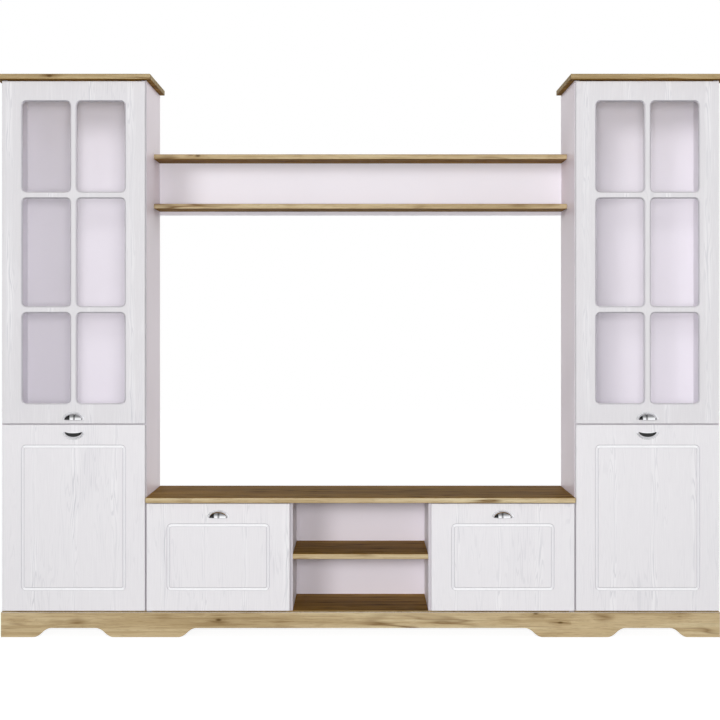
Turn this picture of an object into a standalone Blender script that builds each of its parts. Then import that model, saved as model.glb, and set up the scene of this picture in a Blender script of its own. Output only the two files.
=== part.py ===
# Wall unit: two tall glazed cupboards, a low television unit and a wall shelf.
# The front faces -Y, the wall is at +Y, and the origin is on the floor at the middle.

import math

import bmesh
import bpy
from mathutils import Vector

# Clearances
SEAT = 0.0003  # between two faces that rest on each other
MODULE_GAP = 0.0005  # between two units that stand side by side
CUT_OVERRUN = 0.004  # how far a cutter runs past the face that it cuts
BITE = 0.001  # how deep a fitting starts inside the board that carries it

# Boards
BOARD = 0.018
BACK_BOARD = 0.003
CARCASS_DEPTH = 0.384
BACK_PANEL_DEPTH = 0.350  # front edge of a carcass to the face of its back panel
BACK_GROOVE = 0.006  # how deep a back panel sits in a side
WHITE_EDGE = 0.0008
OAK_EDGE = 0.002
OAK_OVERHANG = 0.040  # cornices and television top, in front of the carcass

# Fronts
FRONT_BOARD = 0.016
FRONT_GAP = 0.002  # between a front and the edges of its carcass
FRONT_EDGE = 0.0025
FRONT_CORNER = 0.001
GROOVE_MARGIN = 0.070
GROOVE_WIDTH = 0.012
GROOVE_DEPTH = 0.003
GROOVE_SLOPE = 0.0035
GROOVE_CORNER = 0.017

# Plinths
PLINTH_HEIGHT = 0.0875
BOTTOM_TOP = 0.090
FOOT_WIDTH = 0.115
OGEE_RUN = 0.061
ARCH_HEIGHT = 0.032
REAR_FOOT_RADIUS = 0.016
REAR_FOOT_BASE_RADIUS = 0.022
REAR_FOOT_BASE = 0.008
REAR_FOOT_INSET = 0.060

# Television unit
TV_WIDTH = 1.500
TV_HEIGHT = 0.490
NICHE_SHELF_TOP = 0.289
NICHE_EDGE_SHOWN = 0.0095  # bare edge of a partition beside a drawer front
DRAWER_FRONT_SIDE_GAP = 0.0015
DRAWER_FRONT_TOP_GAP = 0.004
FRONT_FOOT_GAP = 0.005  # above a plinth

# Drawers, with folded steel sides that run in steel rails
DRAWER_BOARD = 0.016
DRAWER_LENGTH = 0.320
DRAWER_SIDE_HEIGHT = 0.150
DRAWER_FLOOR_GAP = 0.024
DRAWER_REAR_DROP = 0.012
DRAWER_LEDGE = 0.014  # carries the drawer's bottom
DRAWER_RIM = 0.005
DRAWER_RIM_HEIGHT = 0.004
STEEL = 0.0015
RAIL_WIDTH = 0.0125
RAIL_HEIGHT = 0.018
RAIL_LIFT = 0.016
RAIL_LENGTH = 0.310
RAIL_SET_BACK = 0.003
RUNNING_GAP = 0.0004
RUNNING_SIDE_GAP = 0.0015

# Tall cupboards
TOWER_WIDTH = 0.507
TOWER_HEIGHT = 1.968
CORNICE_SIDE_OVERHANG = 0.0175
DOOR_SIDE_GAP = 0.0035
DOOR_TOP_GAP = 0.0045
DOOR_SPLIT = 0.7455
DOOR_SPLIT_GAP = 0.004
FRAME_WIDTH = 0.0665
BAR_WIDTH = 0.015
MIDDLE_PANE_HEIGHT = 0.386
PANE_CORNER = 0.019
PANE_BEVEL = 0.0045
GLASS = 0.004
GLASS_LAP = 0.010
GLASS_CORNER = 0.006
GLASS_REBATE = 0.006
CLIP_WIDTH = 0.012
CLIP_THICKNESS = 0.0012
CLIP_REACH = 0.007  # how far a clip reaches over the glass, and as far over the frame
CLIP_INSET = 0.070  # from a corner of the glass to the nearest clip
SHELF_SET_BACK = 0.020
SHELF_PLAY = 0.001
GLASS_SHELF = 0.006
LOWER_SHELF_TOP = 0.420
PIN_RADIUS = 0.0025
PIN_LENGTH = 0.010
PIN_INSET = 0.040

# Hinges
PIVOT_INSET = 0.005  # from the outer edge of a door
PIVOT_DEPTH = 0.008  # behind the face of a door
CUP_RADIUS = 0.0175
CUP_DEPTH = 0.0115
CUP_WALL = 0.0014
CUP_INSET = 0.0225
CUP_FLANGE = 0.0009
CUP_FLANGE_HALF_WIDTH = 0.0195
CUP_FLANGE_HALF_HEIGHT = 0.026
UPPER_HINGE_INSET = 0.110
LOWER_HINGE_INSET = 0.095
PLATE = 0.0025
PLATE_LENGTH = 0.036
PLATE_HEIGHT = 0.054
PLATE_SETBACK = 0.022
PLATE_CORNER = 0.006
ARM_HEIGHT = 0.016
ARM_LENGTH = 0.062
ARM_RISE = 0.009
ARM_SHEET = 0.004
ARM_NOSE = 0.017
ARM_NOSE_RISE = 0.014
ARM_NOSE_GAP = 0.0006

# Handles
HANDLE_HALF_WIDTH = 0.0345
HANDLE_HEIGHT = 0.0235
HANDLE_DEPTH = 0.0192
HANDLE_WALL = 0.0018
HANDLE_FLANGE = 0.0034
HANDLE_FLANGE_THICKNESS = 0.0015
UPPER_HANDLE_LIFT = 0.014  # upper door edge to the mouth of its handle
LOWER_HANDLE_DROP = 0.025
DRAWER_HANDLE_DROP = 0.0495
BOSS_RADIUS = 0.0035
BOSS_SPACING = 0.032

# Wall shelf
SHELF_DEPTH = 0.164
SHELF_DROP = 0.256  # from the top of the towers to the top of the wall shelf
SHELF_STEP = 0.180  # from one board to the next
SHELF_BACK_HEIGHT = 0.211

# Fineness
CORNER_STEPS = 4
OGEE_STEPS = 6
ROUND_SIDES = 20
FOOT_SIDES = 12
PIN_SIDES = 8
HANDLE_STEPS = 16
HANDLE_RINGS = 4
OAK_EDGE_STEPS = 2

# Places worked out from the sizes
CARCASS_FRONT = (OAK_OVERHANG - CARCASS_DEPTH) / 2
CARCASS_REAR = CARCASS_FRONT + CARCASS_DEPTH
BACK_FACE = CARCASS_FRONT + BACK_PANEL_DEPTH
OAK_FRONT = CARCASS_FRONT - OAK_OVERHANG
FRONT_REAR = CARCASS_FRONT - FRONT_GAP
FRONT_FACE = FRONT_REAR - FRONT_BOARD
TV_HALF = TV_WIDTH / 2
BAY_WIDTH = (TV_WIDTH - 4 * BOARD) / 3
TOWER_INNER = TV_HALF + MODULE_GAP
TOWER_OUTER = TOWER_INNER + TOWER_WIDTH
DOOR_INNER = TOWER_INNER + DOOR_SIDE_GAP
DOOR_OUTER = TOWER_OUTER - DOOR_SIDE_GAP
FRONT_BOTTOM = PLINTH_HEIGHT + FRONT_FOOT_GAP
UPPER_DOOR_BOTTOM = DOOR_SPLIT + DOOR_SPLIT_GAP / 2
UPPER_DOOR_TOP = TOWER_HEIGHT - BOARD - DOOR_TOP_GAP
LOWER_DOOR_TOP = DOOR_SPLIT - DOOR_SPLIT_GAP / 2
SHELF_UPPER_TOP = TOWER_HEIGHT - SHELF_DROP
SHELF_LOWER_TOP = SHELF_UPPER_TOP - SHELF_STEP
SHELF_BACK_BOTTOM = SHELF_UPPER_TOP - SHELF_BACK_HEIGHT
PIVOT_X = DOOR_OUTER - PIVOT_INSET
PIVOT_Y = FRONT_FACE + PIVOT_DEPTH

materials = {}


def clear_scene():
    for item in list(bpy.data.objects):
        bpy.data.objects.remove(item, do_unlink=True)


def make_material(name, colour, roughness, metallic=0.0, transmission=0.0):
    material = bpy.data.materials.new(name)
    material.use_nodes = True
    shader = material.node_tree.nodes["Principled BSDF"]
    shader.inputs["Base Color"].default_value = (*colour, 1.0)
    shader.inputs["Roughness"].default_value = roughness
    shader.inputs["Metallic"].default_value = metallic
    shader.inputs["Transmission Weight"].default_value = transmission
    materials[name] = material


def make_materials():
    make_material("white_wood_film", (0.79, 0.78, 0.80), 0.45)
    make_material("white_board", (0.70, 0.66, 0.70), 0.50)
    make_material("golden_oak", (0.55, 0.42, 0.23), 0.50)
    make_material("clear_glass", (0.92, 0.95, 0.94), 0.03, 0.0, 0.95)
    make_material("polished_chrome", (0.80, 0.80, 0.82), 0.08, 1.0)
    make_material("nickel_steel", (0.55, 0.55, 0.56), 0.30, 1.0)
    make_material("white_steel", (0.80, 0.80, 0.80), 0.35)


# Objects and their meshes

def add_object(name, mesh, material, origin, parent):
    item = bpy.data.objects.new(name, mesh)
    bpy.context.scene.collection.objects.link(item)
    if material:
        mesh.materials.append(materials[material])
    if parent:
        item.parent = parent
    else:
        item.location = origin
    return item


def finish(name, bm, material, parent=None):
    if parent:
        origin = parent.location.copy()
    else:
        corners = [vert.co for vert in bm.verts]
        low = Vector(min(co[axis] for co in corners) for axis in range(3))
        high = Vector(max(co[axis] for co in corners) for axis in range(3))
        origin = (low + high) / 2
    bmesh.ops.recalc_face_normals(bm, faces=bm.faces)
    bmesh.ops.translate(bm, vec=-origin, verts=bm.verts)
    mesh = bpy.data.meshes.new(name)
    bm.to_mesh(mesh)
    bm.free()
    return add_object(name, mesh, material, origin, parent)


def add_axis(name, place):
    axis = bpy.data.objects.new(name, None)
    bpy.context.scene.collection.objects.link(axis)
    axis.location = place
    return axis


def smooth(item, degrees=40):
    item.data.shade_smooth()
    item.data.set_sharp_from_angle(angle=math.radians(degrees))


def round_edges(item, width, steps):
    bevel = item.modifiers.new("edges", "BEVEL")
    bevel.width = width
    bevel.segments = steps
    bevel.limit_method = "ANGLE"
    bevel.angle_limit = math.radians(60)


def combine(item, other, operation):
    other.hide_render = True
    other.display_type = "WIRE"
    boolean = item.modifiers.new(operation.lower(), "BOOLEAN")
    boolean.operation = operation
    boolean.solver = "EXACT"
    boolean.object = other


def cut(item, cutter):
    combine(item, cutter, "DIFFERENCE")


def join(item, fitting):
    combine(item, fitting, "UNION")


# Shapes

def add_box(bm, low, high):
    size = [high[axis] - low[axis] for axis in range(3)]
    middle = [(high[axis] + low[axis]) / 2 for axis in range(3)]
    made = bmesh.ops.create_cube(bm, size=1)
    bmesh.ops.scale(bm, vec=size, verts=made["verts"])
    bmesh.ops.translate(bm, vec=middle, verts=made["verts"])


def add_prism(bm, outline, axis, start, end):
    other = [index for index in range(3) if index != axis]
    first = []
    for point in outline:
        place = [0, 0, 0]
        place[other[0]] = point[0]
        place[other[1]] = point[1]
        place[axis] = start
        first.append(bm.verts.new(place))
    face = bm.faces.new(first)
    made = bmesh.ops.extrude_face_region(bm, geom=[face])
    moved = [part for part in made["geom"] if isinstance(part, bmesh.types.BMVert)]
    shift = Vector()
    shift[axis] = end - start
    bmesh.ops.translate(bm, vec=shift, verts=moved)


def add_skin(bm, loops):
    rings = [[bm.verts.new(place) for place in loop] for loop in loops]
    count = len(rings[0])
    for first, second in zip(rings, rings[1:]):
        for index in range(count):
            after = (index + 1) % count
            bm.faces.new((first[index], first[after], second[after], second[index]))
    bm.faces.new(list(reversed(rings[0])))
    bm.faces.new(rings[-1])


def board(name, x, y, z, material):
    bm = bmesh.new()
    add_box(bm, (min(x), y[0], z[0]), (max(x), y[1], z[1]))
    item = finish(name, bm, material)
    if material == "golden_oak":
        round_edges(item, OAK_EDGE, OAK_EDGE_STEPS)
        smooth(item)
    elif material == "white_board":
        round_edges(item, WHITE_EDGE, 1)
    return item


def corner_loop(half_width, half_height, radius, steps=CORNER_STEPS):
    points = []
    for corner, (side, level) in enumerate(((1, 1), (-1, 1), (-1, -1), (1, -1))):
        for step in range(steps + 1):
            angle = (corner + step / steps) * math.pi / 2
            points.append((side * (half_width - radius) + radius * math.cos(angle),
                           level * (half_height - radius) + radius * math.sin(angle)))
    return points


def front_loop(middle, size, radius, shrink, y):
    points = corner_loop(size[0] / 2 - shrink, size[1] / 2 - shrink, radius)
    return [(middle[0] + px, y, middle[1] + pz) for px, pz in points]


def circle(middle, radius, y, sides=ROUND_SIDES):
    turns = [(index + 0.5) * 2 * math.pi / sides for index in range(sides)]
    return [(middle[0] + radius * math.cos(turn), y, middle[1] + radius * math.sin(turn))
            for turn in turns]


# Doors and drawer fronts, with their milled frames

def front_slab_loops(middle, size):
    edge = FRONT_EDGE * (1 - math.sqrt(0.5))
    return [front_loop(middle, size, FRONT_CORNER, 0, FRONT_REAR),
            front_loop(middle, size, FRONT_CORNER, 0, FRONT_FACE + FRONT_EDGE),
            front_loop(middle, size, FRONT_CORNER, edge, FRONT_FACE + edge),
            front_loop(middle, size, FRONT_CORNER, FRONT_EDGE, FRONT_FACE)]


def grooved_front(name, middle, size, parent=None):
    floor = FRONT_FACE + GROOVE_DEPTH
    section = [(0, FRONT_FACE), (GROOVE_SLOPE, floor), (GROOVE_WIDTH - GROOVE_SLOPE, floor),
               (GROOVE_WIDTH, FRONT_FACE)]
    loops = front_slab_loops(middle, size)
    for run, y in section:
        corner = max(GROOVE_CORNER - run, FRONT_CORNER)
        loops.append(front_loop(middle, size, corner, GROOVE_MARGIN + run, y))
    bm = bmesh.new()
    add_skin(bm, loops)
    item = finish(name, bm, "white_wood_film", parent=parent)
    smooth(item, 30)
    return item


def pane_places(middle, size):
    width = (size[0] - 2 * FRAME_WIDTH - BAR_WIDTH) / 2
    outer_height = (size[1] - 2 * FRAME_WIDTH - 2 * BAR_WIDTH - MIDDLE_PANE_HEIGHT) / 2
    across = (width + BAR_WIDTH) / 2
    up = (MIDDLE_PANE_HEIGHT + outer_height) / 2 + BAR_WIDTH
    rows = ((-up, outer_height), (0, MIDDLE_PANE_HEIGHT), (up, outer_height))
    return [((middle[0] + side * across, middle[1] + level), (width, height))
            for level, height in rows for side in (-1, 1)]


def lattice_frame(name, middle, size, parent):
    bm = bmesh.new()
    add_skin(bm, front_slab_loops(middle, size))
    item = finish(name, bm, "white_wood_film", parent=parent)
    smooth(item, 30)
    rebate = bmesh.new()
    shrink = FRAME_WIDTH - GLASS_LAP
    add_skin(rebate, [front_loop(middle, size, GLASS_CORNER, shrink, FRONT_REAR - GLASS_REBATE),
                      front_loop(middle, size, GLASS_CORNER, shrink, FRONT_REAR + CUT_OVERRUN)])
    cut(item, finish(name + "_rebate_cutter", rebate, None))
    panes = bmesh.new()
    for place, opening in pane_places(middle, size):
        bevel_end = FRONT_FACE + PANE_BEVEL
        inner_radius = PANE_CORNER - PANE_BEVEL
        add_skin(panes, [
            front_loop(place, opening, PANE_CORNER + CUT_OVERRUN, -CUT_OVERRUN, FRONT_FACE - CUT_OVERRUN),
            front_loop(place, opening, inner_radius, PANE_BEVEL, bevel_end),
            front_loop(place, opening, inner_radius, PANE_BEVEL, FRONT_REAR + CUT_OVERRUN)])
    cut(item, finish(name + "_pane_cutter", panes, None))
    return item


def door_glass(name, middle, size, parent):
    shrink = FRAME_WIDTH - GLASS_LAP + SEAT
    front = FRONT_REAR - GLASS_REBATE + SEAT
    bm = bmesh.new()
    add_skin(bm, [front_loop(middle, size, GLASS_CORNER, shrink, front),
                  front_loop(middle, size, GLASS_CORNER, shrink, front + GLASS)])
    return finish(name, bm, "clear_glass", parent=parent)


def fit_glass_clips(frame, middle, size):
    half_width = size[0] / 2 - FRAME_WIDTH + GLASS_LAP
    half_height = size[1] / 2 - FRAME_WIDTH + GLASS_LAP
    glass_rear = FRONT_REAR - GLASS_REBATE + GLASS + 2 * SEAT
    rear = FRONT_REAR + CLIP_THICKNESS
    half_clip = CLIP_WIDTH / 2
    levels = (CLIP_INSET - half_height, (CLIP_INSET - half_height) / 3,
              (half_height - CLIP_INSET) / 3, half_height - CLIP_INSET)
    bm = bmesh.new()
    for side in (-1, 1):
        edge = middle[0] + side * half_width
        inner = edge - side * CLIP_REACH
        toe = inner + side * CLIP_REACH / 2
        outer = edge + side * CLIP_REACH
        bite = edge + side * BITE
        outline = [(inner, glass_rear), (toe, glass_rear), (toe, FRONT_REAR), (bite, FRONT_REAR),
                   (bite, FRONT_REAR - BITE), (outer, FRONT_REAR - BITE), (outer, rear), (inner, rear)]
        for level in levels:
            add_prism(bm, outline, 2, middle[1] + level - half_clip, middle[1] + level + half_clip)
    join(frame, finish(frame.name + "_clips", bm, None))


# Cup handles

def handle_arc(half_width, height, y, base, turn):
    angles = [math.pi * step / HANDLE_STEPS for step in range(HANDLE_STEPS + 1)]
    return [(base[0] + half_width * math.cos(angle), y, base[1] + turn * height * math.sin(angle))
            for angle in angles]


def dome_arc(half_width, height, depth, y, base, turn, share):
    points = []
    for step in range(1, HANDLE_STEPS):
        angle = math.pi * step / HANDLE_STEPS
        reach = math.sin(angle)
        points.append((base[0] + half_width * math.cos(angle),
                       y - depth * reach * math.sin(share * math.pi / 2),
                       base[1] + turn * height * reach * math.cos(share * math.pi / 2)))
    return points


def add_dome(bm, rim, sizes, y, base, turn):
    rows = [rim[1:-1]]
    for ring in range(1, HANDLE_RINGS + 1):
        arc = dome_arc(*sizes, y, base, turn, ring / HANDLE_RINGS)
        rows.append([bm.verts.new(place) for place in arc])
    for first, second in zip(rows, rows[1:]):
        bm.faces.new((rim[0], first[0], second[0]))
        bm.faces.new((rim[-1], second[-1], first[-1]))
        for index in range(len(first) - 1):
            bm.faces.new((first[index], first[index + 1], second[index + 1], second[index]))
    return [rim[0]] + rows[-1] + [rim[-1]]


def join_rows(bm, first, second):
    for index in range(len(first) - 1):
        bm.faces.new((first[index], first[index + 1], second[index + 1], second[index]))


def cup_handle(name, x, mouth, turn, parent=None):
    seat = FRONT_FACE - SEAT
    flange = seat - HANDLE_FLANGE_THICKNESS
    base = (x, mouth)
    wide = HANDLE_HALF_WIDTH + HANDLE_FLANGE
    tall = HANDLE_HEIGHT + HANDLE_FLANGE
    inner_width = HANDLE_HALF_WIDTH - HANDLE_WALL
    inner_height = HANDLE_HEIGHT - HANDLE_WALL
    inner_depth = HANDLE_DEPTH + HANDLE_FLANGE_THICKNESS - HANDLE_WALL
    bm = bmesh.new()
    arcs = [handle_arc(inner_width, inner_height, seat, base, turn),
            handle_arc(wide, tall, seat, base, turn),
            handle_arc(wide, tall, flange, base, turn),
            handle_arc(HANDLE_HALF_WIDTH, HANDLE_HEIGHT, flange, base, turn)]
    inner, outer_rear, outer_front, rim = [[bm.verts.new(place) for place in arc] for arc in arcs]
    join_rows(bm, inner, outer_rear)
    join_rows(bm, outer_rear, outer_front)
    join_rows(bm, outer_front, rim)
    outer_sizes = (HANDLE_HALF_WIDTH, HANDLE_HEIGHT, HANDLE_DEPTH)
    mouth_outer = add_dome(bm, rim, outer_sizes, flange, base, turn)
    mouth_inner = add_dome(bm, inner, (inner_width, inner_height, inner_depth), seat, base, turn)
    join_rows(bm, mouth_outer, mouth_inner)
    for end in (0, -1):
        bm.faces.new((inner[end], outer_rear[end], outer_front[end], rim[end]))
    bmesh.ops.recalc_face_normals(bm, faces=bm.faces)
    item = finish(name, bm, "polished_chrome", parent=parent)
    smooth(item, 50)
    posts = bmesh.new()
    for side in (-1, 1):
        place = (x + side * BOSS_SPACING / 2, mouth + turn * HANDLE_HEIGHT / 2)
        add_skin(posts, [circle(place, BOSS_RADIUS, seat, PIN_SIDES),
                         circle(place, BOSS_RADIUS, seat - HANDLE_DEPTH / 2, PIN_SIDES)])
    join(item, finish(name + "_posts", posts, None))
    return item


# Hinges

def hinge_heights(low, high, inset):
    return {"top": high - inset, "bottom": low + inset}


def fit_hinge_cups(door, side, heights):
    flanges = bmesh.new()
    wells = bmesh.new()
    for height in heights.values():
        middle = (side * (DOOR_OUTER - CUP_INSET), height)
        flange = [(middle[0] + CUP_FLANGE_HALF_WIDTH * px, middle[1] + CUP_FLANGE_HALF_HEIGHT * pz)
                  for px, y, pz in circle((0, 0), 1, 0)]
        add_prism(flanges, flange, 1, FRONT_REAR - BITE, FRONT_REAR + CUP_FLANGE)
        radius = CUP_RADIUS - CUP_WALL
        add_skin(wells, [circle(middle, radius, FRONT_REAR - CUP_DEPTH + CUP_WALL),
                         circle(middle, radius, FRONT_REAR + CUT_OVERRUN)])
    join(door, finish(door.name + "_cup_flanges", flanges, None))
    cut(door, finish(door.name + "_cup_wells", wells, None))


def hinge_arm(name, side, height):
    wall = side * (TOWER_OUTER - BOARD)
    seat = wall - side * SEAT
    plate_y = CARCASS_FRONT + PLATE_SETBACK + PLATE_LENGTH / 2
    outline = corner_loop(PLATE_LENGTH / 2, PLATE_HEIGHT / 2, PLATE_CORNER, 2)
    plate = bmesh.new()
    add_prism(plate, [(plate_y + py, height + pz) for py, pz in outline], 0, seat, seat - side * PLATE)
    item = finish(name, plate, "nickel_steel")
    low = seat - side * PLATE / 2
    nose = CARCASS_FRONT + ARM_NOSE_GAP
    tail = CARCASS_FRONT + ARM_LENGTH
    bend = nose + ARM_NOSE
    tip = FRONT_REAR - CUP_DEPTH + CUP_WALL + SEAT
    crest = wall - side * ARM_NOSE_RISE
    foot = crest + side * ARM_SHEET
    back = wall - side * ARM_RISE
    profile = [(low, bend), (foot, nose), (foot, tip), (crest, tip), (crest, bend - ARM_SHEET),
               (back, bend + ARM_SHEET), (back, tail - ARM_SHEET), (low - side * ARM_SHEET, tail),
               (low, tail)]
    arm = bmesh.new()
    add_prism(arm, profile, 2, height - ARM_HEIGHT / 2, height + ARM_HEIGHT / 2)
    join(item, finish(name + "_arm", arm, None))


# Shared uprights, plinths and feet

def grooved_upright(name, outer_x, inner_x, z, material):
    side = 1 if outer_x > inner_x else -1
    groove_x = inner_x + side * BACK_GROOVE
    start = BACK_FACE - SEAT
    end = BACK_FACE + BACK_BOARD + SEAT
    outline = [(outer_x, CARCASS_FRONT), (inner_x, CARCASS_FRONT), (inner_x, start), (groove_x, start),
               (groove_x, end), (inner_x, end), (inner_x, CARCASS_REAR), (outer_x, CARCASS_REAR)]
    bm = bmesh.new()
    add_prism(bm, outline, 2, z[0], z[1])
    return finish(name, bm, material)


def back_panel(name, inner_faces, z):
    reach = BACK_GROOVE - SEAT
    x = (min(inner_faces) - reach, max(inner_faces) + reach)
    bm = bmesh.new()
    add_box(bm, (x[0], BACK_FACE, z[0] + SEAT), (x[1], BACK_FACE + BACK_BOARD, z[1] - SEAT))
    return finish(name, bm, "white_board")


def ogee(start, end):
    run = end[0] - start[0]
    rise = end[1] - start[1]
    radius = (run * run + rise * rise) / (4 * abs(rise))
    sweep = 2 * math.atan2(abs(rise), abs(run))
    half_run = [radius * math.sin(sweep * step / OGEE_STEPS) for step in range(OGEE_STEPS + 1)]
    half_rise = [radius * (1 - math.cos(sweep * step / OGEE_STEPS)) for step in range(OGEE_STEPS + 1)]
    across = math.copysign(1, run)
    up = math.copysign(1, rise)
    first = [(start[0] + across * dx, start[1] + up * dz) for dx, dz in zip(half_run, half_rise)]
    second = [(end[0] - across * dx, end[1] - up * dz) for dx, dz in zip(half_run, half_rise)]
    return first + second[-2::-1]


def plinth(name, x):
    low, high = min(x), max(x)
    arch_low = low + FOOT_WIDTH
    arch_high = high - FOOT_WIDTH
    outline = [(low, 0)]
    outline += ogee((arch_low, 0), (arch_low + OGEE_RUN, ARCH_HEIGHT))
    outline += ogee((arch_high - OGEE_RUN, ARCH_HEIGHT), (arch_high, 0))
    outline += [(high, 0), (high, PLINTH_HEIGHT), (low, PLINTH_HEIGHT)]
    rear = CARCASS_FRONT - SEAT
    bm = bmesh.new()
    add_prism(bm, outline, 1, rear - BOARD, rear)
    return finish(name, bm, "golden_oak")


def fit_rear_feet(bottom, places_x):
    bm = bmesh.new()
    middle_y = CARCASS_REAR - REAR_FOOT_INSET
    rings = ((REAR_FOOT_BASE_RADIUS, 0), (REAR_FOOT_BASE_RADIUS, REAR_FOOT_BASE),
             (REAR_FOOT_RADIUS, 2 * REAR_FOOT_BASE), (REAR_FOOT_RADIUS, BOTTOM_TOP - BOARD + BITE))
    for middle_x in places_x:
        add_skin(bm, [[(px, py, level) for px, y, py in circle((middle_x, middle_y), radius, 0, FOOT_SIDES)]
                      for radius, level in rings])
    join(bottom, finish(bottom.name + "_feet", bm, None))


# Units

def fit_shelf_pins(upright, face, into, undersides):
    bm = bmesh.new()
    rear = BACK_FACE - PIN_INSET
    front = CARCASS_FRONT + SHELF_SET_BACK + PIN_INSET
    turns = [(index + 0.5) * 2 * math.pi / PIN_SIDES for index in range(PIN_SIDES)]
    for underside in undersides:
        level = underside - SEAT - PIN_RADIUS
        for y in (front, rear):
            ring = [(y + PIN_RADIUS * math.cos(turn), level + PIN_RADIUS * math.sin(turn)) for turn in turns]
            add_prism(bm, ring, 0, face + into * BITE, face - into * PIN_LENGTH)
    join(upright, finish(upright.name + "_pins", bm, None))


def tower(label, side):
    name = label + "_"
    inner_face = TOWER_INNER + BOARD
    outer_face = TOWER_OUTER - BOARD
    sides_z = (BOTTOM_TOP + SEAT, TOWER_HEIGHT - BOARD - SEAT)
    depth = (CARCASS_FRONT, CARCASS_REAR)
    inside = (CARCASS_FRONT, BACK_FACE - SEAT)
    across = (side * (inner_face + SEAT), side * (outer_face - SEAT))
    inner_side = grooved_upright(name + "inner_side", side * TOWER_INNER, side * inner_face,
                                 sides_z, "white_board")
    outer_side = grooved_upright(name + "outer_side", side * TOWER_OUTER, side * outer_face,
                                 sides_z, "white_board")
    bottom = board(name + "bottom", (side * TOWER_INNER, side * TOWER_OUTER), depth,
                   (BOTTOM_TOP - BOARD, BOTTOM_TOP), "golden_oak")
    fit_rear_feet(bottom, (side * (TOWER_INNER + REAR_FOOT_INSET), side * (TOWER_OUTER - REAR_FOOT_INSET)))
    cornice_x = (side * (TOWER_INNER - CORNICE_SIDE_OVERHANG), side * (TOWER_OUTER + CORNICE_SIDE_OVERHANG))
    board(name + "cornice", cornice_x, (OAK_FRONT, CARCASS_REAR),
          (TOWER_HEIGHT - BOARD, TOWER_HEIGHT), "golden_oak")
    board(name + "divider", across, inside, (DOOR_SPLIT - BOARD / 2, DOOR_SPLIT + BOARD / 2), "white_board")
    back_panel(name + "back", (side * inner_face, side * outer_face), (BOTTOM_TOP, TOWER_HEIGHT - BOARD))
    plinth(name + "plinth", (side * TOWER_INNER, side * TOWER_OUTER))

    shelf_x = (side * (inner_face + SHELF_PLAY), side * (outer_face - SHELF_PLAY))
    shelf_y = (CARCASS_FRONT + SHELF_SET_BACK, BACK_FACE - SHELF_PLAY)
    pane_step = (UPPER_DOOR_TOP - UPPER_DOOR_BOTTOM - MIDDLE_PANE_HEIGHT - BAR_WIDTH) / 2
    glass_top = UPPER_DOOR_BOTTOM + pane_step + GLASS_SHELF / 2
    board(name + "glass_shelf", shelf_x, shelf_y, (glass_top - GLASS_SHELF, glass_top), "clear_glass")
    board(name + "lower_shelf", shelf_x, shelf_y, (LOWER_SHELF_TOP - BOARD, LOWER_SHELF_TOP), "white_board")
    undersides = (glass_top - GLASS_SHELF, LOWER_SHELF_TOP - BOARD)
    fit_shelf_pins(inner_side, side * inner_face, -side, undersides)
    fit_shelf_pins(outer_side, side * outer_face, side, undersides)

    door_x = side * (DOOR_INNER + DOOR_OUTER) / 2
    width = DOOR_OUTER - DOOR_INNER
    upper_middle = (door_x, (UPPER_DOOR_BOTTOM + UPPER_DOOR_TOP) / 2)
    upper_size = (width, UPPER_DOOR_TOP - UPPER_DOOR_BOTTOM)
    upper_heights = hinge_heights(UPPER_DOOR_BOTTOM, UPPER_DOOR_TOP, UPPER_HINGE_INSET)
    axis = add_axis(name + "upper_door_axis", (side * PIVOT_X, PIVOT_Y, UPPER_DOOR_BOTTOM))
    frame = lattice_frame(name + "glass_door_frame", upper_middle, upper_size, axis)
    fit_hinge_cups(frame, side, upper_heights)
    fit_glass_clips(frame, upper_middle, upper_size)
    door_glass(name + "door_glass", upper_middle, upper_size, axis)
    cup_handle(name + "upper_handle", door_x, UPPER_DOOR_BOTTOM + UPPER_HANDLE_LIFT, 1, axis)

    lower_middle = (door_x, (FRONT_BOTTOM + LOWER_DOOR_TOP) / 2)
    lower_size = (width, LOWER_DOOR_TOP - FRONT_BOTTOM)
    lower_heights = hinge_heights(FRONT_BOTTOM, LOWER_DOOR_TOP, LOWER_HINGE_INSET)
    axis = add_axis(name + "lower_door_axis", (side * PIVOT_X, PIVOT_Y, FRONT_BOTTOM))
    door = grooved_front(name + "lower_door", lower_middle, lower_size, axis)
    fit_hinge_cups(door, side, lower_heights)
    cup_handle(name + "lower_handle", door_x, LOWER_DOOR_TOP - LOWER_HANDLE_DROP, -1, axis)
    for door_name, heights in (("upper", upper_heights), ("lower", lower_heights)):
        for end, height in heights.items():
            hinge_arm(name + door_name + "_hinge_" + end, side, height)


def fit_rail(upright, face, into):
    low = BOTTOM_TOP + DRAWER_FLOOR_GAP + RAIL_LIFT
    high = low + RAIL_HEIGHT
    buried = face - into * BITE
    web = face + into * STEEL
    tip = face + into * RAIL_WIDTH
    outline = [(buried, low), (tip, low), (tip, low + STEEL), (web, low + STEEL),
               (web, high - STEEL), (tip, high - STEEL), (tip, high), (buried, high)]
    start = CARCASS_FRONT + RAIL_SET_BACK
    bm = bmesh.new()
    add_prism(bm, outline, 1, start, start + RAIL_LENGTH)
    join(upright, finish(upright.name + "_rail", bm, None))


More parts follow.
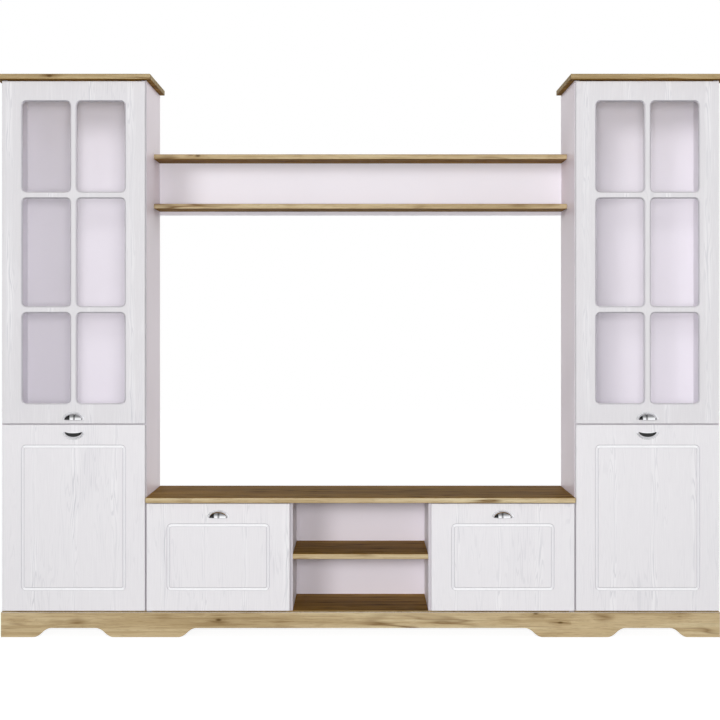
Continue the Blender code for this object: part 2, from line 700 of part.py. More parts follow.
def drawer_side(name, face, into, y):
    low = BOTTOM_TOP + DRAWER_FLOOR_GAP
    top = low + DRAWER_SIDE_HEIGHT
    wall = face + into * (RAIL_WIDTH + RUNNING_SIDE_GAP)
    inner = wall + into * STEEL
    ledge = inner + into * DRAWER_LEDGE
    lip = face + into * (STEEL + RUNNING_SIDE_GAP)
    lip_low = low + RAIL_LIFT + STEEL + RUNNING_GAP
    rim = wall - into * DRAWER_RIM / 2
    rim_inner = rim + into * DRAWER_RIM
    rim_low = top - DRAWER_RIM_HEIGHT
    outline = [(rim, top), (rim_inner, top), (rim_inner, rim_low), (inner, rim_low),
               (inner, low + STEEL), (ledge, low + STEEL), (ledge, low), (wall, low), (wall, lip_low),
               (lip, lip_low), (lip, lip_low + STEEL), (wall, lip_low + STEEL), (wall, rim_low),
               (rim, rim_low)]
    bm = bmesh.new()
    add_prism(bm, outline, 1, y[0], y[1])
    finish(name, bm, "white_steel")


def drawer(label, side):
    name = label + "_drawer_"
    partition = BAY_WIDTH / 2 + BOARD
    bay = (partition, partition + BAY_WIDTH)
    front_x = (BAY_WIDTH / 2 + NICHE_EDGE_SHOWN, TV_HALF - DRAWER_FRONT_SIDE_GAP)
    front_top = TV_HEIGHT - BOARD - DRAWER_FRONT_TOP_GAP
    middle = (side * sum(front_x) / 2, (FRONT_BOTTOM + front_top) / 2)
    size = (front_x[1] - front_x[0], front_top - FRONT_BOTTOM)
    grooved_front(name + "front", middle, size)
    cup_handle(name + "handle", middle[0], front_top - DRAWER_HANDLE_DROP, 1)

    y = (FRONT_REAR + SEAT, FRONT_REAR + SEAT + DRAWER_LENGTH)
    drawer_side(name + "inner_side", side * bay[0], side, y)
    drawer_side(name + "outer_side", side * bay[1], -side, y)
    wall = RAIL_WIDTH + RUNNING_SIDE_GAP + STEEL + SEAT
    across = (side * (bay[0] + wall), side * (bay[1] - wall))
    floor = BOTTOM_TOP + DRAWER_FLOOR_GAP + STEEL + SEAT
    bm = bmesh.new()
    add_box(bm, (min(across), y[0], floor), (max(across), y[1], floor + DRAWER_BOARD))
    finish(name + "bottom", bm, "white_board")
    rear_low = floor + DRAWER_BOARD + SEAT
    rear_top = BOTTOM_TOP + DRAWER_FLOOR_GAP + DRAWER_SIDE_HEIGHT - DRAWER_REAR_DROP
    board(name + "rear", across, (y[1] - DRAWER_BOARD, y[1]), (rear_low, rear_top), "white_board")


def television_unit():
    upright_top = TV_HEIGHT - BOARD - SEAT
    depth = (CARCASS_FRONT, CARCASS_REAR)
    inside = (CARCASS_FRONT, BACK_FACE - SEAT)
    bottom = (BOTTOM_TOP - BOARD, BOTTOM_TOP)
    inner = TV_HALF - BOARD
    board("tv_top", (-TV_HALF, TV_HALF), (OAK_FRONT, CARCASS_REAR),
          (TV_HEIGHT - BOARD, TV_HEIGHT), "golden_oak")
    floor = board("tv_bottom", (SEAT - inner, inner - SEAT), depth, bottom, "golden_oak")
    partition_x = (BAY_WIDTH + BOARD) / 2
    fit_rear_feet(floor, (-partition_x, partition_x))
    back_panel("tv_back", (-inner, inner), (BOTTOM_TOP, TV_HEIGHT - BOARD))
    plinth("tv_plinth", (-TV_HALF, TV_HALF))
    half_niche = BAY_WIDTH / 2
    board("niche_shelf", (SEAT - half_niche, half_niche - SEAT), inside,
          (NICHE_SHELF_TOP - BOARD, NICHE_SHELF_TOP), "golden_oak")
    for label, side in (("left", -1), ("right", 1)):
        upright = grooved_upright("tv_" + label + "_side", side * TV_HALF, side * inner,
                                  (0, upright_top), "white_board")
        fit_rail(upright, side * inner, -side)
        partition = board("tv_" + label + "_partition", (side * half_niche, side * (half_niche + BOARD)),
                          inside, (BOTTOM_TOP + SEAT, upright_top), "white_board")
        fit_rail(partition, side * (half_niche + BOARD), side)
        drawer(label, side)


def wall_shelf():
    rear = CARCASS_REAR - BOARD
    boards_y = (rear - SHELF_DEPTH, rear - SEAT)
    across = (-TV_HALF, TV_HALF)
    board("wall_shelf_upper", across, boards_y, (SHELF_UPPER_TOP - BOARD, SHELF_UPPER_TOP), "golden_oak")
    board("wall_shelf_lower", across, boards_y, (SHELF_LOWER_TOP - BOARD, SHELF_LOWER_TOP), "golden_oak")
    back_z = (SHELF_BACK_BOTTOM, SHELF_UPPER_TOP)
    board("wall_shelf_back", across, (rear, CARCASS_REAR), back_z, "white_board")


def main():
    clear_scene()
    make_materials()
    tower("left", -1)
    tower("right", 1)
    television_unit()
    wall_shelf()


main()
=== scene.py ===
import math
from functools import partial

import bmesh
import bpy
from mathutils import Matrix, Vector


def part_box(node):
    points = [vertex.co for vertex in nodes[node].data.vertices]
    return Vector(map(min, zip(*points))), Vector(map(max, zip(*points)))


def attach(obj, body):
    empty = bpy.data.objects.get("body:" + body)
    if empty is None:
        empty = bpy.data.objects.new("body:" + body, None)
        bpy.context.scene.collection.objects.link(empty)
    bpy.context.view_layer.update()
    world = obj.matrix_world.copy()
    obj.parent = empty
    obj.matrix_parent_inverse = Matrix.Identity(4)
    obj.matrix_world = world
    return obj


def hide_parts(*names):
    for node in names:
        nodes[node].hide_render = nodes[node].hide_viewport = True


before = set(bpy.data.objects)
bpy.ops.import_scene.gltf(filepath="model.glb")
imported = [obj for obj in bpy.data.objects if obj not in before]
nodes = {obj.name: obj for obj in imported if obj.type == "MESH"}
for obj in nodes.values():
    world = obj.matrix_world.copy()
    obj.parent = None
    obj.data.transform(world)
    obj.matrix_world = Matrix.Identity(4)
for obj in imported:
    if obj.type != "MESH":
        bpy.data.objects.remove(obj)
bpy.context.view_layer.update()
print("stage: frame loaded with", len(nodes), "nodes")


# Small helpers

def linearColour(code):
    channels = [int(code[start:start + 2], 16) / 255 for start in (1, 3, 5)]
    return tuple(c / 12.92 if c <= 0.04045 else ((c + 0.055) / 1.055) ** 2.4 for c in channels) + (1.0,)


settingNames = ("operation", "interpolation_type", "mode", "feature", "axis", "data_type")


def wire(node, inputs):  # a node among the values stands for its first live output, a list for several links
    for socket, value in inputs.items():
        for item in value if isinstance(value, list) else [value]:
            if isinstance(item, bpy.types.Node):
                item = next(output for output in item.outputs if output.enabled)
            if isinstance(item, bpy.types.NodeSocket):
                node.id_data.links.new(item, node.inputs[socket])
            elif isinstance(item, str) and item.startswith("#"):
                node.inputs[socket].default_value = linearColour(item)
            else:
                node.inputs[socket].default_value = item


def addNode(tree, kind, *inputs):  # a kind, or a kind and its setting, such as "Math.ADD"
    kind, _, setting = kind.partition(".")
    kinds = [family + "Node" + kind for family in ("Geometry", "Shader", "Function", "")]
    node = tree.nodes.new(next(name for name in kinds if hasattr(bpy.types, name)))
    if setting:
        setattr(node, next(name for name in settingNames if hasattr(node, name)), setting)
    if inputs and isinstance(inputs[0], dict):
        wire(node, inputs[0])
    else:  # values in the order of the live sockets
        live = [place for place, socket in enumerate(node.inputs) if socket.enabled]
        wire(node, dict(zip(live, inputs)))
    return node


def setRamp(node, stops):
    ramp, stops = node.color_ramp, list(stops)
    while len(ramp.elements) < len(stops):
        ramp.elements.new(1.0)
    for element, (place, code) in zip(ramp.elements, stops):
        element.position = place
        element.color = linearColour(code)


def newMaterial(name, sockets):
    material = bpy.data.materials.new(name)
    material.use_nodes = True
    shader = material.node_tree.nodes["Principled BSDF"]
    wire(shader, sockets)
    add = partial(addNode, material.node_tree)
    return material, shader, add, add("TexCoord").outputs["Object"]


def showObject(name, data):
    item = bpy.data.objects.new(name, data)
    bpy.context.scene.collection.objects.link(item)
    return item


# Camera at the photograph's place: level, 5.9 m from the wall unit's middle

view = {
    "place": (0.0, -5.884, 1.110),
    "lens": 81.4,  # mm on a 36 mm sensor
    "shift": (-0.0007, -0.0556),  # share of the frame's width
}

camera = showObject("camera", bpy.data.cameras.new("camera"))
camera.location = view["place"]
camera.rotation_euler = (math.radians(90), 0, 0)
camera.data.lens = view["lens"]
camera.data.shift_x, camera.data.shift_y = view["shift"]
bpy.context.scene.camera = camera
bpy.context.scene.view_settings.view_transform = "Standard"


# Studio: a soft lamp beside the camera, a low key light from the left and pale walls at both
# sides, so tops and undersides stay darker, as in the photograph; the oak's broad faces add painted shade to
# that

studio = {
    "frontPlace": (0.0, -5.9, 1.25),
    "frontSize": 1.0,
    "frontPower": 160,
    "keyTurn": (-19, 8.5),  # degrees to the right and up
    "keySpread": 15,
    "keyStrength": 1.02,
    "horizon": (0.30, 0.62),  # the ambient light is full below the first height and faint above the second
    "ambient": {"ahead": 0.22, "left": 1.03, "right": 1.85, "faint": 0.20},
    "walls": (0.35, 0.95),  # a side wall starts at the first share of a turn aside and is full at the second
    "floorTone": 0.45,  # lights the part
    "floorGlow": 0.90,  # the floor that is seen: nearly white, less the shadow it catches
    "floorShade": 0.42,
}
mirror = {  # what the metal shows of the room: two white screens, with the grey camera stand between them
    "screens": ((0.0, "#3A3A3A"), (0.23, "#3A3A3A"), (0.28, "#FFFFFF"), (0.43, "#FFFFFF"), (0.46, "#A2A2A2"),
                (0.54, "#A2A2A2"), (0.57, "#FFFFFF"), (0.95, "#FFFFFF"), (0.975, "#606060")),
    "ahead": 1.25,
    "top": 0.32,
    "rise": (0.20, 0.72),  # the screens fade to the top between these heights
    "behind": 1.0,
    "far": 0.12,
    "corner": (0.70, 0.93),
    "floor": 0.05,  # a dark foreground, where the photographer stands
    "nearEdge": (-0.36, -0.20),
    "farEdge": (-3.2, -2.4),
}


def addLamp(name, kind, place, rotation, settings):
    lamp = showObject(name, bpy.data.lights.new(name, kind))
    for setting, value in settings.items():
        setattr(lamp.data, setting, value)
    lamp.location = place
    lamp.rotation_euler = [math.radians(turn) for turn in rotation]
    lamp.visible_glossy = False  # the panes show what is behind them, and no lamp
    lamp.visible_transmission = False


addLamp("frontLamp", "AREA", studio["frontPlace"], (90, 0, 0),
        {"shape": "DISK", "size": studio["frontSize"], "energy": studio["frontPower"]})
addLamp("keyLamp", "SUN", (-2, -6, 1.5), (90 - studio["keyTurn"][1], 0, studio["keyTurn"][0]),
        {"angle": math.radians(studio["keySpread"]), "energy": studio["keyStrength"]})


def seenDirectly(add):
    rays = add("LightPath").outputs
    direct = add("Math.MAXIMUM", rays["Is Camera Ray"], rays["Is Transmission Ray"])
    return direct, rays["Is Glossy Ray"]


def makeWorld():
    world = bpy.data.worlds.new("studio")
    world.use_nodes = True
    bpy.context.scene.world = world
    add = partial(addNode, world.node_tree)
    direct, glossy = seenDirectly(add)
    x, y, z = add("SeparateXYZ", add("TexCoord").outputs["Generated"]).outputs
    ambient = studio["ambient"]
    band = add("MapRange.SMOOTHSTEP", add("Math.ABSOLUTE", z), *studio["horizon"], 1.0, ambient["faint"])
    start, full = studio["walls"]
    leftSide = add("MapRange", x, -full, -start, ambient["left"], ambient["ahead"])
    rightSide = add("MapRange", x, start, full, ambient["ahead"], ambient["right"])
    sides = add("Math.MAXIMUM", leftSide, rightSide)
    soft = add("Math.MULTIPLY", band, sides)
    screens = add("ValToRGB", add("MapRange", x, -1.0, 1.0, 0.0, 1.0))
    setRamp(screens, mirror["screens"])
    upward = add("MapRange", z, *mirror["rise"], mirror["ahead"], mirror["top"])
    room = add("Math.MULTIPLY", screens, upward)
    aside = add("Math.ABSOLUTE", x)
    behind = add("MapRange", aside, *mirror["corner"], mirror["behind"], mirror["far"])
    ahead = add("Math.LESS_THAN", y, 0.0)
    mirrored = add("Mix.FLOAT", ahead, behind, room)
    other = add("Mix.FLOAT", glossy, soft, mirrored)
    strength = add("Mix.FLOAT", direct, other, 1.0)
    wire(world.node_tree.nodes["Background"], {"Color": (1, 1, 1, 1), "Strength": strength})


def makeFloor():
    bm = bmesh.new()
    bmesh.ops.create_grid(bm, x_segments=8, y_segments=8, size=14)
    bmesh.ops.translate(bm, vec=(0, 0, -0.0006), verts=bm.verts)
    tone, shade = [(grey, grey, grey, 1) for grey in (studio["floorTone"], studio["floorShade"])]
    material, shader, add, place = newMaterial("paleFloor", {"Base Color": tone, "Roughness": 0.9})
    direct, glossy = seenDirectly(add)
    seen = add("Math.MAXIMUM", direct, glossy)
    glow = add("Emission", {"Strength": studio["floorGlow"]})
    matt = add("BsdfDiffuse", {"Color": shade})
    y = add("SeparateXYZ", place).outputs["Y"]
    near = add("MapRange", y, *mirror["nearEdge"], mirror["floor"], 1.0)
    far = add("MapRange", y, *mirror["farEdge"], mirror["ahead"], mirror["floor"])
    foreground = add("Emission", {"Strength": add("Math.MAXIMUM", near, far)})
    shown = add("MixShader", glossy, add("AddShader", glow, matt), foreground)
    wire(material.node_tree.nodes["Material Output"], {"Surface": add("MixShader", seen, shader, shown)})
    floor = showObject("floor", bpy.data.meshes.new("floor"))
    bm.to_mesh(floor.data)
    bm.free()
    floor.data.materials.append(material)


makeWorld()
makeFloor()
print("stage: camera, lamps and floor placed")


# Film on the fronts: white foil pressed over milled board, with an embossed wood grain. The eye
# sees mostly plain white, and at each joint of the printed planks a band of narrow nested eyes

film = {
    # the glazed door frames' ground is darker than the other fronts' in the same film: painted shade on the
    # upper doors
    "groundsWithShade": {"glass_door_frame": "#D6D4D7", "lower_door": "#E0DEE1", "drawer_front": "#E1DFE2"},
    "line": "#BFBEC4",
    "bright": "#ECEBED",
    "smudge": "#CFCDD2",
    "plank": 0.142,  # from one joint line to the next
    "jointAt": {"left_glass_door_frame": -0.943, "left_lower_door": -1.000, "left_drawer_front": -0.545,
                "right_glass_door_frame": 1.074, "right_lower_door": 1.028, "right_drawer_front": 0.625},
    "jointHalf": 0.0015,
    "waver": 0.005,  # how far the grain strays to a side as it climbs
    "band": (0.005, 0.019),  # distances from a joint: the figure is full up to the first, gone at the second
    "figure": (0.021, 0.36),  # width and height of its waves
    "contours": 10.0,
    "fibre": 0.0016,
    "emboss": 0.0005,
}


def grainNoise(add, place, waves, **looks):  # noise with so many waves in a metre along each axis
    spread = add("VectorMath.MULTIPLY", place, waves)
    return add("TexNoise", {"Vector": spread, "Scale": 1.0, **looks})


def makeFilm(name, seed, ground, jointAt):
    material, shader, add, place = newMaterial(name, {"Roughness": 0.42, "IOR": 1.49, "Coat Weight": 0.05})
    moved = add("Mapping", {"Vector": place, "Location": (-jointAt, 0, seed * 1.37)})
    waver = grainNoise(add, moved, (13.0, 0.0, 4.4), Detail=3.0, Roughness=0.5)
    stray = add("CombineXYZ", add("MapRange", waver, 0.3, 0.7, -film["waver"], film["waver"]))
    swayed = add("VectorMath.ADD", moved, stray)
    # joints of the planks, fainter at some heights
    plank = film["plank"]
    across = add("Math.DIVIDE", add("SeparateXYZ", swayed), plank)
    edge = add("Math.PINGPONG", across, 0.5)
    joint = add("MapRange.SMOOTHSTEP", edge, 0.0, film["jointHalf"] / plank, 1.0, 0.0)
    patch = grainNoise(add, moved, (8.0, 0.0, 2.6), Detail=2.0)
    joints = add("Math.MULTIPLY", joint, add("MapRange", patch, 0.35, 0.65, 0.15, 0.75))
    # eyes are the contour lines of a smooth field that is drawn out upward
    wide, tall = film["figure"]
    field = grainNoise(add, swayed, (1 / wide, 0.0, 1 / tall), Detail=1.0, Roughness=0.4)
    turn = add("Math.MULTIPLY", field, 2 * math.pi * film["contours"])
    contour = add("MapRange.SMOOTHSTEP", add("Math.SINE", turn), 0.35, 1.0, 0.0, 1.0)
    full, gone = film["band"]
    band = add("MapRange.SMOOTHSTEP", edge, full / plank, gone / plank, 1.0, 0.0)
    banded = add("Math.MULTIPLY", band, add("MapRange", patch, 0.40, 0.60, 0.16, 0.66))
    figured = add("Math.MAXIMUM", banded, add("MapRange", patch, 0.50, 0.70, 0.05, 0.34))
    eyes = add("Math.MULTIPLY", contour, figured)
    drawn = add("Math.MAXIMUM", eyes, joints)
    # fibres, a millimetre or two wide and a few centimetres long
    fibre = grainNoise(add, moved, (1 / film["fibre"], 0.0, 16.0), Scale=0.6, Detail=2.0)
    pale = add("MapRange", fibre, 0.52, 0.75, 0.0, 0.45)
    paleNear = add("Math.MAXIMUM", pale, figured)
    smudge = add("MapRange", patch, 0.56, 0.72, 0.0, 0.30)
    colour = ground
    for share, tone in ((paleNear, "bright"), (smudge, "smudge"), (drawn, "line")):
        colour = add("Mix.RGBA", share, colour, film[tone])
    hollow = add("Math.MULTIPLY_ADD", drawn, -1.0, pale)
    relief = add("Bump", {"Strength": 0.5, "Distance": film["emboss"], "Height": hollow})
    wire(shader, {"Base Color": colour, "Normal": relief})
    return material


# Film stretched into a milled line: smoother than the faces. Its colours are painted light and shade, as if
# lit from above: a painted highlight on a level line's floor, painted shade on a steep wall, most of all on
# one that looks down; an upright line's floor is greyer than a level one

# painted light and shade by facing: the level floor is a painted highlight, the walls and the upright lines'
# floor carry painted shade, darkest on walls looking down
milledPaintedLight = {"floor": "#F0F0F2", "sideFloor": "#E2E1E4", "under": "#B3B0B6", "lip": "#D8D6DA",
              "side": "#C9C6CC"}
milledGrain = 0.0096


def makeMilledFilm(name, code):
    material, shader, add, place = newMaterial(name, {"Roughness": 0.36, "IOR": 1.49})
    mottle = add("TexNoise", {"Vector": place, "Scale": 1 / milledGrain, "Detail": 3.0})
    share = add("MapRange", mottle, 0.35, 0.65, 0.0, 0.14)
    shaded = add("Mix.RGBA", share, code, film["smudge"])
    relief = add("Bump", {"Strength": 0.2, "Distance": 0.0002, "Height": mottle})
    wire(shader, {"Base Color": shaded, "Normal": relief})
    return material


# Melamine on the carcass boards: hard satin white with a faint lilac cast and a fine pearl relief

# the edge band's colour is the white band greyed with painted shade, as front edges set back behind the
# fronts look
# the niche back's colour is a darker copy of the white ground: painted shade on the back of the niche
melamine = {"ground": "#F0EDF5", "side": "#F7ECF4", "nicheBack": "#E4DEE6", "band": "#CBC6CC", "shade": 0.955,
            "pearl": 0.0014, "relief": 0.00006}


def makeMelamine(name, ground, roughness=0.40):
    material, shader, add, place = newMaterial(name, {"Roughness": roughness, "IOR": 1.5})
    cloud = add("TexNoise", {"Vector": place, "Scale": 3.0, "Detail": 3.0})
    share = add("MapRange", cloud, 0.3, 0.7, 0.0, 0.6)
    shaded = tuple(channel * melamine["shade"] for channel in linearColour(ground))
    tone = add("Mix.RGBA", share, ground, shaded)
    pearl = add("TexNoise", {"Vector": place, "Scale": 1 / melamine["pearl"], "Detail": 2.0})
    relief = add("Bump", {"Strength": 0.3, "Distance": melamine["relief"], "Height": pearl})
    gloss = add("MapRange", cloud, 0.3, 0.7, roughness - 0.04, roughness + 0.05)
    wire(shader, {"Base Color": tone, "Normal": relief, "Roughness": gloss})
    return material


# Golden oak decor: a printed oak with tan and honey streaks along the board, dark pores,
# and a few small knots that the streaks flow round; edges are banded in the same decor. The broad faces and
# the cornice band take it in darker tones, as painted shade

oak = {
    "toneStops": (0.0, 0.30, 0.52, 0.72, 1.0),
    "tones": ("#907A56", "#AF9A75", "#BFAB87", "#C7B692", "#D2C4A2"),
    # darker tones for the broad faces: painted shade on tops and undersides
    "shadedFaceTones": ("#5C3F16", "#805E22", "#9A722E", "#AC843C", "#C09A52"),
    # darker tones for the cornice's edge: painted shade
    "shadedCorniceTones": ("#806A48", "#9D8863", "#AD9873", "#B6A37E", "#C3B38E"),
    "pore": "#6E5331",
    "knot": "#4E3719",
    "streak": 0.0062,  # width of a tone streak
    "poreWidth": 0.0011,
    "knotCell": (0.12, 0.050),  # length and width of a cell that may hold one small knot
    "knotRarity": 0.35,
    "rings": 9.0,
    "crack": (3.0, 27.0),  # waves in a metre along the board and across it
}


def makeOak(name, seed, tones):
    material, shader, add, place = newMaterial(name, {
        "Roughness": 0.6, "IOR": 1.5, "Specular IOR Level": 0.03})
    moved = add("Mapping", {"Vector": place, "Location": (seed * 0.83, seed * 0.39, seed * 0.57)})
    # knots: cells stretched along the board, of which only the middle of some is dark
    long, narrow = oak["knotCell"]
    knotAt = add("VectorMath.MULTIPLY", moved, (1 / long, 1 / narrow, 1 / narrow))
    away, chance = add("TexVoronoi.F1", {"Vector": knotAt, "Scale": 1.0, "Randomness": 1.0}).outputs[:2]
    near = add("MapRange.SMOOTHSTEP", away, 0.0, 0.55, 1.0, 0.0)
    some = add("Math.GREATER_THAN", add("SeparateColor", chance), oak["knotRarity"])
    swirl = add("Math.MULTIPLY", near, some)
    # tones, drawn out along the board
    slow = grainNoise(add, moved, (1.7, 1 / oak["streak"] / 2.4, 1 / oak["streak"] / 2.4),
                      Detail=6.0, Roughness=0.62, Distortion=0.18)
    broad = grainNoise(add, moved, (1.3, 5.0, 5.0), Detail=2.0)
    both = add("Math.MULTIPLY_ADD", broad, 0.55, slow)
    swirled = add("Math.MULTIPLY_ADD", swirl, -0.12, both)
    tone = add("ValToRGB", add("MapRange", swirled, 0.48, 1.06, 0.0, 1.0))
    setRamp(tone, zip(oak["toneStops"], tones))
    # yearly rings as thin lines that follow the tones, and short pores
    ringTurn = add("Math.MULTIPLY", swirled, 2 * math.pi * oak["rings"])
    ring = add("MapRange.SMOOTHSTEP", add("Math.SINE", ringTurn), 0.75, 1.0, 0.0, 0.30)
    pores = grainNoise(add, moved, (22.0, 0.5 / oak["poreWidth"], 0.5 / oak["poreWidth"]), Detail=2.0)
    pore = add("MapRange", pores, 0.56, 0.72, 0.0, 0.34)
    # cracks run out of a knot both ways along the board, and through a few broad patches
    along, across = oak["crack"]
    split = grainNoise(add, moved, (along, across, across), Detail=2.0, Roughness=0.4)
    level = add("Math.SUBTRACT", split, 0.5)
    crack = add("MapRange", add("Math.ABSOLUTE", level), 0.0, 0.055, 0.95, 0.0)
    cracked = add("Math.MAXIMUM", swirl, add("MapRange", broad, 0.51, 0.60, 0.0, 1.0))
    lines = add("Math.MAXIMUM", ring, pore)
    marks = add("Math.MAXIMUM", lines, add("Math.MULTIPLY", crack, cracked))
    marked = add("Mix.RGBA", marks, tone, oak["pore"])
    core = add("MapRange.SMOOTHSTEP", away, 0.03, 0.13, 0.85, 0.0)
    knot = add("Math.MULTIPLY", core, some)
    knotted = add("Mix.RGBA", knot, marked, oak["knot"])
    depth = add("Math.MULTIPLY", pore, -1.0)
    relief = add("Bump", {"Strength": 0.35, "Distance": 0.0003, "Height": depth})
    gloss = add("MapRange", marks, 0.0, 0.4, 0.56, 0.70)
    wire(shader, {"Base Color": knotted, "Normal": relief, "Roughness": gloss})
    return material


# Raw chipboard on the hidden rear edges: pressed flakes a few millimetres long, dull and dry

chipboard = {
    "flake": 0.0032,
    "tones": ((0.0, "#7C6345"), (0.4, "#A88B63"), (0.75, "#C3A97F"), (1.0, "#DCC9A2")),
}


def makeChipboard():
    material, shader, add, place = newMaterial("rawChipboard", {"Roughness": 0.85, "IOR": 1.45})
    height, shade = add("TexVoronoi.F1", {"Vector": place, "Scale": 1 / chipboard["flake"]}).outputs[:2]
    tone = add("ValToRGB", add("SeparateColor", shade))
    setRamp(tone, chipboard["tones"])
    relief = add("Bump", {"Strength": 0.6, "Distance": 0.0005, "Height": height})
    wire(shader, {"Base Color": tone, "Normal": relief})
    return material


# Bare hardboard on the rear of the back panels: brown pressed fibre, matt and slightly felted

hardboard = {"felt": 0.0072, "tones": ((0.0, "#5E4328"), (0.5, "#7D5D3A"), (1.0, "#9A7A51"))}


def makeHardboard():
    material, shader, add, place = newMaterial("bareHardboard", {"Roughness": 0.8, "IOR": 1.45})
    felt = add("TexNoise", {"Vector": place, "Scale": 1 / hardboard["felt"], "Detail": 6.0, "Roughness": 0.7,
                            "Distortion": 1.2})
    cloud = add("TexNoise", {"Vector": place, "Scale": 4.0, "Detail": 3.0})
    both = add("Math.MULTIPLY_ADD", cloud, 0.5, felt)
    tone = add("ValToRGB", add("MapRange", both, 0.5, 1.0, 0.0, 1.0))
    setRamp(tone, hardboard["tones"])
    relief = add("Bump", {"Strength": 0.5, "Distance": 0.0003, "Height": felt})
    wire(shader, {"Base Color": tone, "Normal": relief})
    return material


# Metals: chrome is mirror bright with hardly any polish haze, nickel plate is softer and brushed

metals = {
    "polishedChrome": {"tone": "#EBEBED", "haze": "#DDDEE1", "rough": 0.07, "speck": 0.004, "drawn": 1},
    "nickelPlate": {"tone": "#B9B7B2", "haze": "#9C9A96", "rough": 0.30, "speck": 0.0012, "drawn": 12},
}


def makeMetal(name):
    recipe = metals[name]
    rough = recipe["rough"]
    material, shader, add, place = newMaterial(name, {"Metallic": 1.0, "Roughness": rough})
    drawnOut = add("VectorMath.DIVIDE", place, (1, recipe["drawn"], 1))
    speck = add("TexNoise", {"Vector": drawnOut, "Scale": 1 / recipe["speck"], "Detail": 3.0})
    tone = add("Mix.RGBA", speck, recipe["tone"], recipe["haze"])
    gloss = add("MapRange", speck, 0.3, 0.7, rough * 0.8, rough * 1.3)
    wire(shader, {"Base Color": tone, "Roughness": gloss})
    return material


# Coats: the steel of the drawers has a baked powder coat with orange-peel relief, the feet are dull
# moulded plastic and the glass clips a glossier one

coats = {
    "powderCoat": {"tone": "#ECECEA", "shade": "#DEDEDC", "rough": 0.38, "grain": 0.0016, "relief": 0.00008},
    "feetPlastic": {"tone": "#3A3A3C", "shade": "#2C2C2E", "rough": 0.50, "grain": 0.0009, "relief": 0.00008},
    "clipPlastic": {"tone": "#E3E4E1", "shade": "#D2D4D0", "rough": 0.30, "grain": 0.0020, "relief": 0.00004},
}


def makeCoat(name):
    recipe = coats[name]
    material, shader, add, place = newMaterial(name, {"Roughness": recipe["rough"], "IOR": 1.5})
    grain = add("TexNoise", {"Vector": place, "Scale": 1 / recipe["grain"], "Detail": 2.0})
    tone = add("Mix.RGBA", grain, recipe["tone"], recipe["shade"])
    relief = add("Bump", {"Strength": 0.4, "Distance": recipe["relief"], "Height": grain})
    wire(shader, {"Base Color": tone, "Normal": relief})
    return material


# Float glass: clear with a trace of green, flat as poured, and lamps shine through it

glass = {"tint": "#FDFCFC", "edge": "#EBF0EC", "smear": 0.05}


def makeGlass():
    material, shader, add, place = newMaterial("floatGlass", {
        "Roughness": 0.01, "IOR": 1.52, "Transmission Weight": 1.0})
    smear = add("TexNoise", {"Vector": place, "Scale": 5.0, "Detail": 3.0})
    share = add("MapRange", smear, 0.4, 0.7, 0.0, glass["smear"])
    wire(shader, {"Base Color": add("Mix.RGBA", share, glass["tint"], glass["edge"])})
    rays = add("LightPath").outputs
    lit = add("Math.MAXIMUM", rays["Is Shadow Ray"], rays["Is Diffuse Ray"])
    mixed = add("MixShader", lit, shader, add("BsdfTransparent", glass["tint"]))
    wire(material.node_tree.nodes["Material Output"], {"Surface": mixed})
    return material


whiteMelamine = makeMelamine("whiteMelamine", melamine["ground"])
sideMelamine = makeMelamine("sideMelamine", melamine["side"])
# the niche back is painted shade: a darker copy of the white melamine
shadedNicheMelamine = makeMelamine("nicheBackMelamine", melamine["nicheBack"])
# the white front edges' band carries painted shade
shadedEdgeBand = makeMelamine("whiteEdgeBand", melamine["band"], 0.34)
milled = {facing: makeMilledFilm("milledFilm_" + facing, code) for facing, code in milledPaintedLight.items()}
# the broad oak faces take the darker tones: painted shade
shadedOakFace = makeOak("oakDecor", 1, oak["shadedFaceTones"])
oakBand = makeOak("oakEdgeBand", 4, oak["tones"])
# the cornice's edge band carries painted shade
shadedCorniceBand = makeOak("oakCorniceBand", 7, oak["shadedCorniceTones"])
rawChipboard, bareHardboard, floatGlass = makeChipboard(), makeHardboard(), makeGlass()
chrome, nickel = [makeMetal(name) for name in metals]
powderCoat, feetPlastic, clipPlastic = [makeCoat(name) for name in coats]
print("stage: materials made")


# Turning bmesh work into pieces

def shadeSmooth(mesh, angle=50, keepFlat=True):  # rounded parts shade smoothly, and flat faces stay flat
    mesh.set_sharp_from_angle(angle=math.radians(angle))
    for face in mesh.polygons:
        face.use_smooth = not keepFlat or max(abs(part) for part in face.normal) < 0.9999


def finishMesh(bm, name, finishes=(), choose=None, merge=True):
    if merge:
        bmesh.ops.remove_doubles(bm, verts=bm.verts, dist=1e-6)
    bmesh.ops.recalc_face_normals(bm, faces=bm.faces)
    mesh = bpy.data.meshes.new(name)
    bm.to_mesh(mesh)
    bm.free()
    for finish in finishes:
        mesh.materials.append(finish)
    for face in mesh.polygons if choose else ():
        face.material_index = choose(face)
    shadeSmooth(mesh)
    return mesh


def addPiece(mesh, body, slot, *replaced):
    piece = showObject(mesh.name, mesh)
    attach(piece, body)
    if replaced:
        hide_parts(*replaced)


def addPrism(bm, outline, axis, start, end):
    first = []
    for point in outline:
        place = list(point)
        place.insert(axis, start)
        first.append(bm.verts.new(place))
    made = bmesh.ops.extrude_face_region(bm, geom=[bm.faces.new(first)])["geom"]
    shift = Vector()
    shift[axis] = end - start
    bmesh.ops.translate(bm, vec=shift, verts=[part for part in made if isinstance(part, bmesh.types.BMVert)])


def addSkin(bm, loops):
    rings = [[bm.verts.new(place) for place in loop] for loop in loops]
    for first, second in zip(rings, rings[1:]):
        for index in range(len(first)):
            after = (index + 1) % len(first)
            bm.faces.new((first[index], first[after], second[after], second[index]))
    bm.faces.new(list(reversed(rings[0])))
    bm.faces.new(rings[-1])


